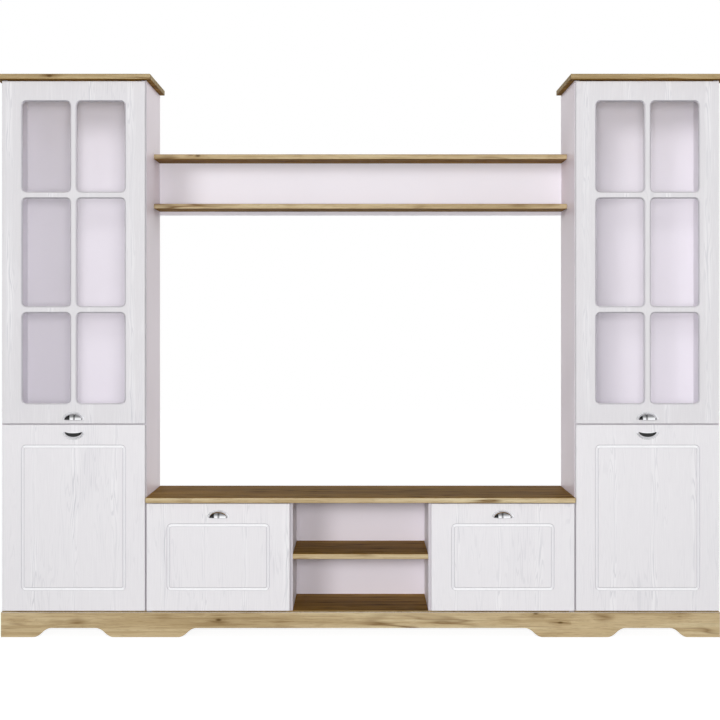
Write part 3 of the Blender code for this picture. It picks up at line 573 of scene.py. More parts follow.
def easeEdges(bm, width, steps=3, ends=()):  # edges at an end in X stay sharp
    bmesh.ops.recalc_face_normals(bm, faces=bm.faces)
    sharp = [edge for edge in bm.edges if edge.is_manifold and edge.calc_face_angle() > math.radians(60)
             and not any(all(abs(vert.co.x - end) < 1e-5 for vert in edge.verts) for end in ends)]
    bmesh.ops.bevel(bm, geom=sharp, offset=width, segments=steps, profile=0.5, affect="EDGES",
                    clamp_overlap=True)


def middleOf(node):
    low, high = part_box(node)
    return (low.x + high.x) / 2, (low.z + high.z) / 2


# Boards: each is cut to its CAD node, with eased edges, banded where it shows and raw at the rear

def frontOrRear(face):  # 0 broad face, 1 banded front, 2 raw rear edge
    return 1 if face.normal.y < -0.5 else 2 if face.normal.y > 0.5 else 0


def oakSide(face):  # 0 broad face, 1 banded edge, 2 raw rear edge
    return 2 if face.normal.y > 0.5 else 1 if abs(face.normal.z) < 0.7 else 0


def rearOnly(face):
    return 1 if face.normal.y > 0.5 else 0


board = {"thickness": 0.018, "grooveDepth": 0.006, "grooveWidth": 0.0036, "grooveFront": 0.1777}
boardKinds = {  # finishes, slot, width of the eased edge and choice of finish
    "white": ((whiteMelamine, shadedEdgeBand, rawChipboard), "white_board", 0.0007, frontOrRear),
    "shelfBack": ((whiteMelamine, whiteMelamine, rawChipboard), "white_board", 0.0007, frontOrRear),
    "oak": ((shadedOakFace, oakBand, rawChipboard), "golden_oak", 0.0018, oakSide),
    "cornice": ((shadedOakFace, shadedCorniceBand, rawChipboard), "golden_oak", 0.0018, oakSide),
    "back": ((whiteMelamine, bareHardboard), "white_board", 0.0003, rearOnly),
    "nicheBack": ((shadedNicheMelamine, bareHardboard), "white_board", 0.0003, rearOnly),
}


def cutBoard(node, kind, body="carcass", x=None, z=None):
    low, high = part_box(node)
    left, right = x or (low.x, high.x)
    bottom, top = z or (low.z, high.z)
    finishes, slot, ease, choose = boardKinds[kind]
    bm = bmesh.new()
    addPrism(bm, [(left, bottom), (right, bottom), (right, top), (left, top)], 1, low.y, high.y)
    easeEdges(bm, ease)
    addPiece(finishMesh(bm, node + "_board", finishes, choose), body, slot, node)


def boardSpan(node):  # an upright's own thickness, without the fittings that its CAD node carries
    low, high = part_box(node)
    outermost = node.endswith("outer_side") or node in ("tv_left_side", "tv_right_side")
    thick = board["thickness"]
    if outermost == (high.x > 0):
        return high.x - thick, high.x
    return low.x, low.x + thick


def cutGroovedUpright(node):
    low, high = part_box(node)
    span = boardSpan(node)
    inward = node.endswith("inner_side") == (span[0] > 0)  # the groove is on the face towards the shelves
    outer, inner = span if inward else reversed(span)
    deep = inner - math.copysign(board["grooveDepth"], inner - outer)
    start = board["grooveFront"]
    end = start + board["grooveWidth"]
    finishes, slot, ease, choose = boardKinds["white"]
    bm = bmesh.new()
    addPrism(bm, [(outer, low.y), (inner, low.y), (inner, start), (deep, start), (deep, end), (inner, end),
                  (inner, high.y), (outer, high.y)], 2, low.z, high.z)
    easeEdges(bm, ease, 2)

    def chooseSide(face):
        outward = face.normal.x * (outer - inner) > 0 and abs(face.normal.x) > 0.7
        return 3 if outward and node.endswith("inner_side") else choose(face)

    addPiece(finishMesh(bm, node + "_board", (*finishes, sideMelamine), chooseSide), "carcass", slot, node)


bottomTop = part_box("left_bottom")[1].z
bottomLevels = (bottomTop - board["thickness"], bottomTop)
for label in ("left", "right"):
    for node in (label + "_inner_side", label + "_outer_side", "tv_" + label + "_side"):
        cutGroovedUpright(node)
    cutBoard("tv_" + label + "_partition", "white", x=boardSpan("tv_" + label + "_partition"))
    for part in ("divider", "lower_shelf"):
        cutBoard(label + "_" + part, "white")
    for part in ("rear", "bottom"):
        cutBoard(label + "_drawer_" + part, "white", label + "_drawer")
    cutBoard(label + "_cornice", "cornice")
    cutBoard(label + "_bottom", "oak", z=bottomLevels)
cutBoard("tv_bottom", "oak", z=bottomLevels)
for node in ("tv_top", "niche_shelf", "wall_shelf_upper", "wall_shelf_lower"):
    cutBoard(node, "oak")
for node, kind in (("wall_shelf", "shelfBack"), ("left", "back"), ("right", "back"), ("tv", "nicheBack")):
    cutBoard(node + "_back", kind)
print("stage: boards cut")


# Geometry Nodes trees: each has named inputs and ends in real geometry with its finish

def openTree(name, sockets):  # the names of its inputs, under each kind of socket
    tree = bpy.data.node_groups.new(name, "GeometryNodeTree")
    for kind, labels in {"Geometry": ["Geometry"], **sockets}.items():
        for label in labels:
            tree.interface.new_socket(label, in_out="INPUT", socket_type="NodeSocket" + kind)
    tree.interface.new_socket("Geometry", in_out="OUTPUT", socket_type="NodeSocketGeometry")
    add = partial(addNode, tree)
    return tree, add, add("GroupInput").outputs


def closeTree(add, geometry, finish, chosen=True):
    real = add("RealizeInstances", geometry)
    add("GroupOutput", add("SetMaterial", real, chosen, finish))


def growMesh(name, tree, values, base=None):
    holder = showObject(name + "_holder", base or bpy.data.meshes.new(name + "_base"))
    modifier = holder.modifiers.new("grow", "NODES")
    modifier.node_group = tree
    for item in tree.interface.items_tree:
        if item.name in values:
            modifier[item.identifier] = values[item.name]
    bpy.context.view_layer.update()
    grown = bpy.data.meshes.new_from_object(holder.evaluated_get(bpy.context.evaluated_depsgraph_get()))
    grown.name = name
    holder.modifiers.remove(modifier)
    bpy.data.objects.remove(holder)
    return grown


def standUp(mesh, x, y, z, change=None):  # drawn in X and Y, it comes to face the front, thickness towards -Y
    bm = bmesh.new()
    bm.from_mesh(mesh)
    place = Matrix.Translation((x, y, z)) @ Matrix.Rotation(math.radians(90), 4, "X")
    bmesh.ops.transform(bm, matrix=place, verts=bm.verts)
    bmesh.ops.remove_doubles(bm, verts=bm.verts, dist=2e-6)
    bmesh.ops.recalc_face_normals(bm, faces=bm.faces)
    if change:
        bm.normal_update()
        change(bm)
    bm.to_mesh(mesh)
    bm.free()
    shadeSmooth(mesh)


# Plinths: the ogee arch is drawn from the foot's width, the run and the rise

plinth = {
    "Foot Width": 0.112,
    "Ogee Run": 0.065,
    "Arch Height": 0.032,
    "Ogee Ease": 0.25,  # share of the run that each end takes to leave the level
    "Board": 0.018,
    "Steps": 20,
    "closeUp": 0.0002,  # each end reaches this much nearer to the next plinth
    "ease": 0.0009,
}


def plinthTree():
    tree, add, given = openTree("ogeePlinth", {
        "Float": ("Width", "Height", "Foot Width", "Ogee Run", "Arch Height", "Ogee Ease", "Board"),
        "Int": ("Steps",), "Material": ("Finish",)})
    half = add("Math.MULTIPLY", given["Width"], 0.5)
    footEnd = add("Math.SUBTRACT", half, given["Foot Width"])
    archEnd = add("Math.SUBTRACT", footEnd, given["Ogee Run"])
    reaches = ((half, 0.0), (footEnd, 0.0), (archEnd, given["Arch Height"]), (half, given["Height"]))
    lines, middles = [], []
    for side in (1.0, -1.0):
        outerFoot, innerFoot, archFoot, top = [
            add("CombineXYZ", add("Math.MULTIPLY", reach, side), rise) for reach, rise in reaches]
        middle = add("Mix.VECTOR", 0.5, innerFoot, archFoot)
        share = add("Math.MULTIPLY", given["Ogee Ease"], side)
        level = add("CombineXYZ", add("Math.MULTIPLY", given["Ogee Run"], share))
        for first, operation in ((innerFoot, "SUBTRACT"), (archFoot, "ADD")):
            control = add("VectorMath." + operation, first, level)
            lines.append(add("CurveQuadraticBezier", given["Steps"], first, control, middle))
        for last in (innerFoot, top):
            lines.append(add("CurvePrimitiveLine.POINTS", outerFoot, last))
        middles.append((archFoot, top))
    for first, last in zip(*middles):
        lines.append(add("CurvePrimitiveLine.POINTS", first, last))
    wires = add("CurveToMesh", add("JoinGeometry", lines))
    closed = add("MergeByDistance", {"Geometry": wires, "Distance": 0.00001})
    face = add("FillCurve.NGONS", add("MeshToCurve", closed))
    thick = add("ExtrudeMesh.FACES", {"Mesh": face, "Offset Scale": given["Board"], "Individual": False})
    closeTree(add, add("JoinGeometry", [thick, add("FlipFaces", face)]), given["Finish"])
    return tree


def finishPlinth(bm, bare):
    spans = [vert.co.x for vert in bm.verts]
    easeEdges(bm, plinth["ease"], 2, (min(spans), max(spans)))  # neighbours meet at sharp ends
    for face in bm.faces:
        if face.normal.z > 0.9:  # the top edge has no band
            face.material_index = bare


ogeePlinth = plinthTree()
for node in ("left_plinth", "right_plinth", "tv_plinth"):
    low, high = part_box(node)
    sizes = dict(plinth, Width=high.x - low.x + 2 * plinth["closeUp"], Height=high.z - low.z, Finish=oakBand)
    mesh = growMesh(node + "_board", ogeePlinth, sizes)
    mesh.materials.append(rawChipboard)
    standUp(mesh, middleOf(node)[0], high.y, low.z, partial(finishPlinth, bare=len(mesh.materials) - 1))
    addPiece(mesh, "carcass", "golden_oak", node)
print("stage: plinths grown")


# Fronts: one tree sweeps the milled lines round their rings and fills what lies between.
# It makes the glazed lattice doors, the lower doors and the drawer fronts

frontRear = -0.174
fronts = {
    "Thickness": 0.016,
    "Edge": 0.0020,
    "Frame Width": 0.0665,
    "Bar Width": 0.015,
    "Middle Height": 0.386,
    "Pane Corner": 0.019,
    "Pane Moulding": (0.0044, 0.0062, 0.0),  # how far it runs in, and how deep
    "Rebate": 0.006,
    "Glass Lap": 0.010,
    "Margin": 0.070,
    "Side Margin": 0.070,
    "Groove": (0.0120, 0.0026, 0.0),
    "Groove Corner": 0.017,
    "Cup Radius": 0.0175,
    "Cup Depth": 0.0115,
    "cupInset": 0.0225,
    "corner": 0.0004,
    "rebateCorner": 0.006,
}
frontKinds = {  # each front's body and what differs in its tree and sizes
    "glass_door_frame": {"body": "_upper_door", "lattice": True, "cupFromTop": 0.110},
    "lower_door": {"body": "_lower_door", "lattice": False, "cupFromTop": 0.095, "Side Margin": 0.0665},
    "drawer_front": {"body": "_drawer", "lattice": False, "cupFromTop": None},
}
profiles = {  # shares of a moulding's run and depth, with the stretches that are steep walls
    "edge": ((0.0, 0.0), (0.38, -0.08), (0.71, -0.29), (0.92, -0.62), (1.0, -1.0)),
    "pane": ((0.0, 0.0), (-0.30, -0.36), (-0.40, -0.37), (-0.55, -0.45), (-0.70, -0.58), (-0.86, -0.78),
             (-1.0, -1.0)),
    "groove": ((0.0, 0.0), (-0.17, -0.92), (-0.27, -1.0), (-0.40, -0.90), (-0.5, -0.86), (-0.60, -0.90),
               (-0.73, -1.0), (-0.83, -0.92), (-1.0, 0.0)),
    "grooveWalls": (0, 7),
}


frontMaths = (  # each result is the second x the third + the fourth
    ("faceWidth", "Edge", -2.0, "Width"),
    ("faceHeight", "Edge", -2.0, "Height"),
    ("grooveWidth", "Side Margin", -2.0, "Width"),
    ("grooveHeight", "Margin", -2.0, "Height"),
    ("glazedWidth", "Frame Width", -2.0, "Width"),
    ("glazedHeight", "Frame Width", -2.0, "Height"),
    ("bothPanes", "Bar Width", -1.0, "glazedWidth"),
    ("paneWidth", "bothPanes", 0.5, 0.0),
    ("allPanes", "Bar Width", -2.0, "glazedHeight"),
    ("outerPanes", "Middle Height", -1.0, "allPanes"),
    ("outerHeight", "outerPanes", 0.5, 0.0),
    ("paneStep", "paneWidth", 1.0, "Bar Width"),
    ("across", "paneStep", 0.5, 0.0),
    ("rowSum", "outerHeight", 1.0, "Middle Height"),
    ("up", "rowSum", 0.5, "Bar Width"),
    ("acrossLeft", "across", -1.0, 0.0),
    ("down", "up", -1.0, 0.0),
    ("rebateWidth", "Glass Lap", 2.0, "glazedWidth"),
    ("rebateHeight", "Glass Lap", 2.0, "glazedHeight"),
    ("wallDepth", "Rebate", -1.0, "Thickness"),
    ("cupLow", "Cup Height", -1.0, 0.0),
)


def frontTree(name, lattice, cups):
    tree, add, given = openTree(name, {
        "Float": ("Width", "Height", "Thickness", "Edge", "Frame Width", "Bar Width", "Middle Height",
                  "Pane Corner", "Rebate", "Glass Lap", "Margin", "Side Margin", "Groove Corner",
                  "Cup Radius", "Cup Depth", "Cup Across", "Cup Height"),
        "Vector": ("Pane Moulding", "Groove"), "Material": ("Film", "Wall Film", "Floor Film", "Rear Film")})
    known = dict(given.items())

    def value(name):
        return known.get(name, name)

    for result, first, factor, more in frontMaths:
        known[result] = add("Math.MULTIPLY_ADD", known[first], factor, value(more))
    skins = []

    def place(curve, x, y, z):
        spot = add("CombineXYZ", value(x), value(y), value(z))
        return add("SetCurveNormal.Z_UP", add("Transform", {"Geometry": curve, "Translation": spot}))

    def ring(width, height, radius, x=0.0, y=0.0, z="Thickness"):
        box = add("CurvePrimitiveQuadrilateral.RECTANGLE", value(width), value(height))
        return place(add("FilletCurve.POLY", {"Curve": box, "Count": 8, "Radius": value(radius)}), x, y, z)

    def offset(curve, outward):
        push = add("VectorMath.SCALE", add("InputNormal"), outward)
        return add("SetPosition", {"Geometry": curve, "Offset": push})

    def corners(shares, size):  # a profile's second axis points down
        return [add("VectorMath.MULTIPLY", (run, -depth, 0.0), size) for run, depth in shares]

    def sweep(curve, stops, finishes):
        for first, second, finish in zip(stops, stops[1:], finishes):
            swept = add("CurveToMesh", curve, add("CurvePrimitiveLine.POINTS", first, second))
            skins.append(add("SetMaterial", swept, True, known[finish]))

    def sink(curve, depth):  # a straight wall down from a ring on the rear
        sweep(curve, corners(((0.0, 0.0), (0.0, 1.0)), add("CombineXYZ", 0.0, value(depth))), ["Film"])

    def fill(curves, level):
        filled = add("FillCurve.TRIANGLES", {"Curve": add("JoinGeometry", curves)})
        lift = add("CombineXYZ", 0.0, 0.0, value(level))
        lifted = add("Transform", {"Geometry": filled, "Translation": lift})
        skins.append(add("SetMaterial", lifted, True, known["Film"]))

    def inward(size):
        return add("Math.MULTIPLY", add("SeparateXYZ", size), -1.0)

    outer = ring("faceWidth", "faceHeight", fronts["corner"])
    edgeStops = corners(profiles["edge"], add("CombineXYZ", given["Edge"], given["Edge"]))
    edgeStops += corners([(1.0, -1.0)], add("CombineXYZ", given["Edge"], given["Thickness"]))
    sweep(outer, edgeStops, ["Film"] * len(edgeStops))
    rearLoops = [offset(outer, given["Edge"])]
    for height in ("Cup Height", "cupLow") if cups else ():
        circle = add("CurvePrimitiveCircle.RADIUS", {"Resolution": 40, "Radius": given["Cup Radius"]})
        hole = place(circle, "Cup Across", height, 0.0)
        rearLoops.append(hole)
        sink(hole, "Cup Depth")
        fill([hole], "Cup Depth")
    if lattice:
        panes = [ring("paneWidth", height, "Pane Corner", side, level)
                 for height, level in (("outerHeight", "up"), ("Middle Height", 0.0), ("outerHeight", "down"))
                 for side in ("acrossLeft", "across")]
        moulding = given["Pane Moulding"]
        stops = corners(profiles["pane"], moulding)
        stops += corners([(-1.0, -1.0)], add("CombineXYZ", add("SeparateXYZ", moulding), known["wallDepth"]))
        for pane in panes:
            sweep(pane, stops, ["Wall Film"] * (len(stops) - 2) + ["Film"])
        fill([outer] + panes, "Thickness")
        rebate = ring("rebateWidth", "rebateHeight", fronts["rebateCorner"], z=0.0)
        sink(rebate, "Rebate")
        rearLoops.append(rebate)
        fill([rebate] + [offset(pane, inward(moulding)) for pane in panes], "Rebate")
    else:
        groove = ring("grooveWidth", "grooveHeight", "Groove Corner")
        stops = corners(profiles["groove"], given["Groove"])
        sweep(groove, stops, ["Wall Film" if index in profiles["grooveWalls"] else "Floor Film"
                              for index in range(len(stops) - 1)])
        fill([outer, groove], "Thickness")
        fill([offset(groove, inward(given["Groove"]))], "Thickness")
    fill(rearLoops, 0.0)
    merged = add("MergeByDistance", {"Geometry": add("JoinGeometry", skins), "Distance": 0.00002})
    level = add("SeparateXYZ", add("InputPosition")).outputs["Z"]
    closeTree(add, merged, given["Rear Film"], add("Math.LESS_THAN", level, 0.0005))  # the faces of the rear
    return tree


def paintMilledLightByFacing(mesh):  # painted light and shade: a milled wall's colour is set by where it looks, a floor's by how its line runs
    wall = mesh.materials.find(milled["under"].name)
    floor = mesh.materials.find(milled["floor"].name)
    places = {}
    for facing in ("lip", "side", "sideFloor"):
        places[facing] = len(mesh.materials)
        mesh.materials.append(milled[facing])
    for face in mesh.polygons:
        upright = abs(face.normal.x) > abs(face.normal.z)
        if face.material_index == wall and upright:
            face.material_index = places["side"]
        elif face.material_index == wall and face.normal.z > 0:
            face.material_index = places["lip"]
        elif face.material_index == floor and upright:
            face.material_index = places["sideFloor"]


cupPlaces = {}
frontTrees = {part: frontTree(part + "_tree", kind["lattice"], kind["cupFromTop"])
              for part, kind in frontKinds.items()}
seed = 1
for label, side in (("left", -1), ("right", 1)):
    for part, kind in frontKinds.items():
        node = label + "_" + part
        body = label + kind["body"]
        low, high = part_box(node)
        middleX, middleZ = middleOf(node)
        width, height = high.x - low.x, high.z - low.z
        pressed = makeFilm("pressedFilm_" + node, seed, film["groundsWithShade"][part], film["jointAt"][node])
        values = {**fronts, **kind, "Width": width, "Height": height, "Film": pressed,
                  "Wall Film": milled["under"], "Floor Film": milled["floor"], "Rear Film": whiteMelamine}
        if kind["cupFromTop"]:
            across, up = side * (width / 2 - fronts["cupInset"]), height / 2 - kind["cupFromTop"]
            values.update({"Cup Across": across, "Cup Height": up})
            cupPlaces[body] = [(middleX + across, frontRear, middleZ + sign * up) for sign in (-1, 1)]
        mesh = growMesh(node + "_milled", frontTrees[part], values)
        standUp(mesh, middleX, frontRear, middleZ)
        paintMilledLightByFacing(mesh)
        addPiece(mesh, body, "white_wood_film", node)
        seed += 1
print("stage: fronts grown")


# Cup handles: a chromed shell with a thin flange, open at its mouth, on two posts

handle = {
    "halfWidth": 0.0345,
    "height": 0.0235,
    "depth": 0.0192,
    "wall": 0.0018,
    "flange": 0.0034,
    "flangeThickness": 0.0015,
    "rounding": 0.0011,
    "foot": (0.0004, 0.0003),  # how far the dome's foot spreads on the flange, and how high it reaches
    "seat": -0.1903,
    "postStep": 0.032,
    "post": ((0.0034, 0.0), (0.0034, 0.0085), (0.0028, 0.0093)),  # radii, and distances from the seat
    "steps": 56,
    "rings": 16,
}


def unitRing(sides, shift=0.0):
    turns = [math.tau * (step + shift) / sides for step in range(sides)]
    return [(math.cos(turn), math.sin(turn)) for turn in turns]


def handleRow(halfWidth, height, y, turn, depth=0.0, lean=0.0):
    angles = [math.pi * step / handle["steps"] for step in range(handle["steps"] + 1)]
    return [(halfWidth * math.cos(angle), y - depth * math.sin(angle) * math.sin(lean),
             turn * height * math.sin(angle) * math.cos(lean)) for angle in angles]


def bridge(bm, first, second):
    for index in range(len(first) - 1):
        bm.faces.new((first[index], first[index + 1], second[index + 1], second[index]))


def raiseDome(bm, rim, halfWidth, height, depth, y, turn):
    rows = [rim[1:-1]]
    for count in range(1, handle["rings"] + 1):
        row = handleRow(halfWidth, height, y, turn, depth, count / handle["rings"] * math.pi / 2)
        rows.append([bm.verts.new(place) for place in row[1:-1]])
    for first, second in zip(rows, rows[1:]):
        bm.faces.new((rim[0], first[0], second[0]))
        bm.faces.new((rim[-1], second[-1], first[-1]))
        bridge(bm, first, second)
    return [rim[0]] + rows[-1] + [rim[-1]]


def makeHandle(node, body):
    low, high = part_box(node)
    turn, mouth = (-1, high.z) if "lower" in node else (1, low.z)
    middle = middleOf(node)[0]
    wide, tall, depth = handle["halfWidth"], handle["height"], handle["depth"]
    seat, wall, edge, soft = handle["seat"], handle["wall"], handle["flange"], handle["rounding"]
    spread, lift = handle["foot"]
    front = seat - handle["flangeThickness"]
    levels = ((-wall, seat), (edge, seat), (edge, front + soft), (edge - 0.3 * soft, front + 0.3 * soft),
              (edge - soft, front), (spread, front), (0.0, front - lift))
    bm = bmesh.new()
    rows = [handleRow(wide + grow, tall + grow, y, turn) for grow, y in levels]
    skins = [[bm.verts.new(place) for place in row] for row in rows]
    for first, second in zip(skins, skins[1:]):
        bridge(bm, first, second)
    outerMouth = raiseDome(bm, skins[-1], wide, tall, depth - lift, front - lift, turn)
    innerDepth = depth + handle["flangeThickness"] - wall
    innerMouth = raiseDome(bm, skins[0], wide - wall, tall - wall, innerDepth, seat, turn)
    bridge(bm, outerMouth, innerMouth)
    for end in (0, -1):
        bm.faces.new([row[end] for row in skins])
    bmesh.ops.translate(bm, vec=(middle, 0, mouth), verts=bm.verts)
    mesh = finishMesh(bm, node + "_shell", [chrome], merge=False)
    shadeSmooth(mesh, 30)  # the flange mirrors as a flat ring
    addPiece(mesh, body, "polished_chrome", node)
    spots = [(middle + side * handle["postStep"] / 2, mouth + turn * tall / 2) for side in (-1, 1)]
    posts = bmesh.new()
    for x, z in spots:
        addSkin(posts, [[(x + radius * c, seat - out, z + radius * s) for c, s in unitRing(24)]
                        for radius, out in handle["post"]])
    addPiece(finishMesh(posts, node + "_posts", [chrome]), body, "polished_chrome")
    return [(x, frontRear, z) for x, z in spots]


handleScrews = {}
for label in ("left_", "right_"):
    for part, body in (("upper", "upper_door"), ("lower", "lower_door"), ("drawer", "drawer")):
        handleScrews[label + body] = makeHandle(label + part + "_handle", label + body)
print("stage: handles made")


# Fittings are scattered by one tree: it sets a fitting on each point, turned to the point's facing

def scatterTree():
    tree, add, given = openTree("scatterFittings", {"Object": ("Fitting",), "Material": ("Finish",)})
    facing = add("InputNamedAttribute.FLOAT_VECTOR", {"Name": "facing"})
    turned = add("AlignRotationToVector.Z", {"Vector": facing})
    shape = add("ObjectInfo", {"Object": given["Fitting"]}).outputs["Geometry"]
    placed = add("InstanceOnPoints", {"Points": given["Geometry"], "Instance": shape, "Rotation": turned})
    closeTree(add, placed, given["Finish"])
    return tree


fittingTree = scatterTree()


def scatter(name, shape, places, body="carcass", finish=nickel, slot="nickel_steel"):
    base = bpy.data.meshes.new(name + "_points")
    base.from_pydata([place for place, facing in places], [], [])
    facings = base.attributes.new("facing", "FLOAT_VECTOR", "POINT")
    for item, (place, facing) in zip(facings.data, places):
        item.vector = facing
    pattern = showObject(name + "_shape", shape)
    mesh = growMesh(name, fittingTree, {"Fitting": pattern, "Finish": finish}, base)
    bpy.data.objects.remove(pattern)
    shadeSmooth(mesh, 40, keepFlat=False)
    addPiece(mesh, body, slot)


def allFacing(places, facing):
    return [(place, facing) for place in places]


def turnedShape(name, rows, sides):  # a row is a height and a radius, or a height and the radii in X and in Y
    bm = bmesh.new()
    addSkin(bm, [[(row[1] * c, row[-1] * s, row[0]) for c, s in unitRing(sides)] for row in rows])
    return finishMesh(bm, name, merge=False)


def refinish(node, finish):  # a piece that keeps its CAD shape
    finishes = nodes[node].data.materials
    finishes.clear()
    finishes.append(finish)


screw = {"radius": 0.0036, "rise": 0.0013, "crossReach": 0.0019, "crossHalf": 0.00042, "crossDepth": 0.0009,
         "profile": ((1.0, 0.0), (0.97, 0.45), (0.80, 0.85), (0.62, 1.0))}  # shares of radius and rise


def screwShape():
    radius, rise, reach, half = screw["radius"], screw["rise"], screw["crossReach"], screw["crossHalf"]
    full = unitRing(24, 0.5)
    crossed = []
    for x, y in full:
        length = max(min(reach / abs(x), half / abs(y)), min(half / abs(x), reach / abs(y)))
        crossed.append((length * x, length * y))
    loops = [[(x * radius * share, y * radius * share, rise * height) for x, y in full]
             for share, height in screw["profile"]]
    loops += [[(x * share, y * share, rise - sunk) for x, y in crossed]
              for share, sunk in ((1.0, 0.0), (0.75, screw["crossDepth"]))]
    bm = bmesh.new()
    addSkin(bm, loops)
    return finishMesh(bm, "screwHead", merge=False)


screwHead = screwShape()
toRear = (0, 1, 0)

# hinge cups, pressed into the doors, each with two screws; handles are screwed on from behind
cup = {"outer": 0.01735, "inner": 0.0161, "depth": 0.0113, "floor": 0.0100, "soft": 0.0008, "flange": 0.0009,
       "rim": 0.0003, "ears": (0.0195, 0.026), "earTopShare": 0.98, "earSoft": 0.0004, "seat": 0.00002,
       "screwStep": 0.0208}
inner, flange, seat, outer = cup["inner"], cup["flange"], cup["seat"], cup["outer"]
earX, earZ = cup["ears"]
cupShape = turnedShape("cupShape", (
    (-cup["floor"], inner - cup["soft"]), (-cup["floor"] + cup["soft"], inner), (flange - cup["rim"], inner),
    (flange, inner + cup["rim"]), (flange, cup["earTopShare"] * earX, cup["earTopShare"] * earZ),
    (flange - cup["earSoft"], earX, earZ), (seat, earX, earZ), (seat, outer), (-cup["depth"], outer)), 40)
for body, places in cupPlaces.items():
    scatter(body + "_hinge_cups", cupShape, allFacing(places, toRear), body)
    heads = [(x, y + flange, z + side * cup["screwStep"]) for x, y, z in places for side in (-1, 1)]
    scatter(body + "_screws", screwHead, allFacing(heads + handleScrews[body], toRear), body)
for body in ("left_drawer", "right_drawer"):
    scatter(body + "_screws", screwHead, allFacing(handleScrews[body], toRear), body)

# hinge arms keep their CAD shape; two screws hold each plate
plate = {"thickness": 0.0025, "fromRear": 0.018, "screwStep": 0.0185}
plateScrews = []
for node in nodes:
    if "_hinge_" in node:
        refinish(node, nickel)
        low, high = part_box(node)
        side = 1 if high.x > 0 else -1
        x = max(abs(low.x), abs(high.x)) * side - side * plate["thickness"]
        y, z = high.y - plate["fromRear"], middleOf(node)[1]
        heads = [(x, y, z + up * plate["screwStep"]) for up in (-1, 1)]
        plateScrews += allFacing(heads, (-side, 0, 0))
scatter("hinge_plate_screws", screwHead, plateScrews)

# shelf pins under each shelf, nickelled, 5 mm thick
pin = {"radius": 0.0025, "reach": 0.0100, "soft": 0.0006, "sunk": 0.0005, "inset": 0.040, "sideGap": 0.001,
       "shelfGap": 0.0003}
pinShape = turnedShape("pinShape", (
    (-pin["sunk"], pin["radius"]), (pin["reach"] - pin["soft"], pin["radius"]),
    (pin["reach"], pin["radius"] - pin["soft"])), 20)
pinPlaces = []
for node in ("left_glass_shelf", "left_lower_shelf", "right_glass_shelf", "right_lower_shelf"):
    low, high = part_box(node)
    for x, facing in ((low.x - pin["sideGap"], 1), (high.x + pin["sideGap"], -1)):
        for y in (low.y + pin["inset"], high.y + pin["sideGap"] - pin["inset"]):
            pinPlaces.append(((x, y, low.z - pin["shelfGap"] - pin["radius"]), (facing, 0, 0)))
scatter("shelf_pins", pinShape, pinPlaces)

# rear feet, moulded in dark plastic, with a screw plate under the bottom board
foot = {"pad": 0.0220, "neck": 0.0160, "soft": 0.0012, "padHeight": 0.0075, "shoulder": (0.0130, 0.018),
        "neckFoot": 0.0165, "plate": (0.006, 0.0035, 0.0002), "inset": 0.060}
neckTop, plateLow, plateTop = [bottomTop - board["thickness"] - down for down in foot["plate"]]
pad, neck = foot["pad"], foot["neck"]
footShape = turnedShape("footShape", (
    (0.0, pad - foot["soft"]), (foot["soft"], pad), (foot["padHeight"], pad), foot["shoulder"],
    (foot["neckFoot"], neck), (neckTop, neck), (plateLow, pad), (plateTop, pad)), 36)
feet = []
for node in ("left_bottom", "right_bottom"):
    low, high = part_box(node)
    feet += [(x, high.y - foot["inset"], 0.0) for x in (low.x + foot["inset"], high.x - foot["inset"])]
for node in ("tv_left_partition", "tv_right_partition"):
    feet.append((sum(boardSpan(node)) / 2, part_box("tv_bottom")[1].y - foot["inset"], 0.0))
scatter("rear_feet", footShape, allFacing(feet, (0, 0, 1)), "carcass", feetPlastic, "white_board")
print("stage: fittings scattered")


# Drawer rails: folded steel channels screwed to the bay's boards

rail = {"width": 0.0125, "height": 0.018, "lift": 0.040, "steel": 0.0015, "setBack": 0.003, "length": 0.310,
        "gap": 0.00005, "screws": (0.08, 0.5, 0.92)}  # the screws' places are shares of the length

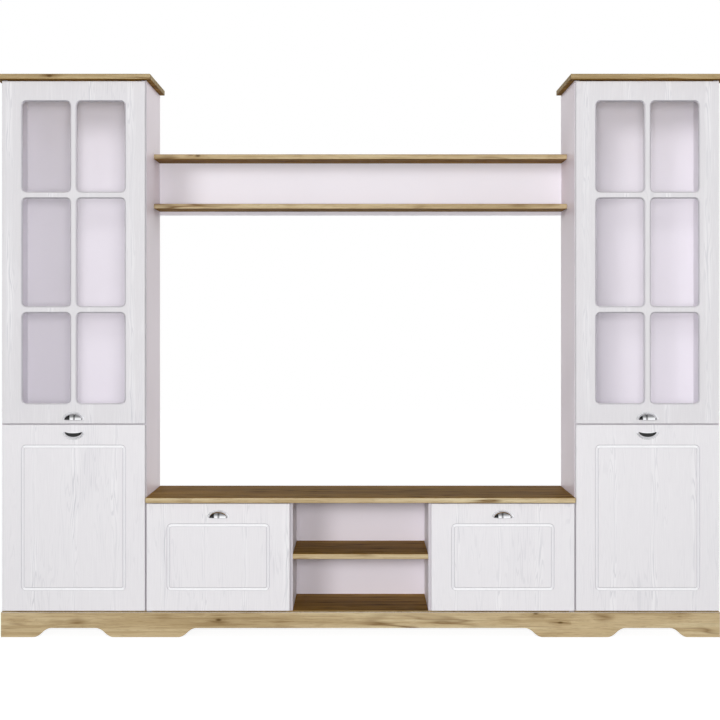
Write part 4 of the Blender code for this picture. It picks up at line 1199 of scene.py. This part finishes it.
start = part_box("tv_left_side")[0].y + rail["setBack"]
low = bottomTop + rail["lift"]
high = low + rail["height"]
steel = rail["steel"]
bm = bmesh.new()
railScrews = []
for part, into in (("left_side", 1), ("left_partition", -1), ("right_side", -1), ("right_partition", 1)):
    face = boardSpan("tv_" + part)[1 if into > 0 else 0]
    seat, web, tip = [face + into * out for out in (rail["gap"], steel, rail["width"])]
    addPrism(bm, [(seat, low), (tip, low), (tip, low + steel), (web, low + steel), (web, high - steel),
                  (tip, high - steel), (tip, high), (seat, high)], 1, start, start + rail["length"])
    heads = [(web, start + share * rail["length"], (low + high) / 2) for share in rail["screws"]]
    railScrews += allFacing(heads, (into, 0, 0))
addPiece(finishMesh(bm, "drawer_rails", [powderCoat]), "carcass", "white_steel")
scatter("rail_screws", screwHead, railScrews)
for label in ("left_", "right_"):
    for part in ("drawer_inner_side", "drawer_outer_side"):
        refinish(label + part, powderCoat)
print("stage: rails made")


# Glass: door panes and glass shelves keep their CAD shape; clips hold each pane from behind

clip = {"half": 0.006, "thickness": 0.0012, "reach": 0.007, "inset": 0.070, "gap": 0.00005,
        "glassGap": 0.0003, "ease": 0.0002}

for label in ("left", "right"):
    for part in ("_door_glass", "_glass_shelf"):
        refinish(label + part, floatGlass)
    low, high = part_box(label + "_door_glass")
    middleZ = middleOf(label + "_door_glass")[1]
    far = (high.z - low.z) / 2 - clip["inset"]
    glassRear = high.y + clip["glassGap"]
    onFrame, rear = frontRear + clip["gap"], frontRear + clip["thickness"]
    bm = bmesh.new()
    for edge, side in ((low.x, -1), (high.x, 1)):
        inner, toe, outer = [edge + side * clip["reach"] * share for share in (-1.0, -0.5, 1.0)]
        outline = ((inner, glassRear), (toe, glassRear), (toe, onFrame), (outer, onFrame), (outer, rear),
                   (inner, rear))
        for level in (-far, -far / 3, far / 3, far):
            addPrism(bm, outline, 2, middleZ + level - clip["half"], middleZ + level + clip["half"])
    easeEdges(bm, clip["ease"], 2)
    addPiece(finishMesh(bm, label + "_glass_clips", [clipPlastic]), label + "_upper_door", "white_board")
print("stage: glass and clips made")
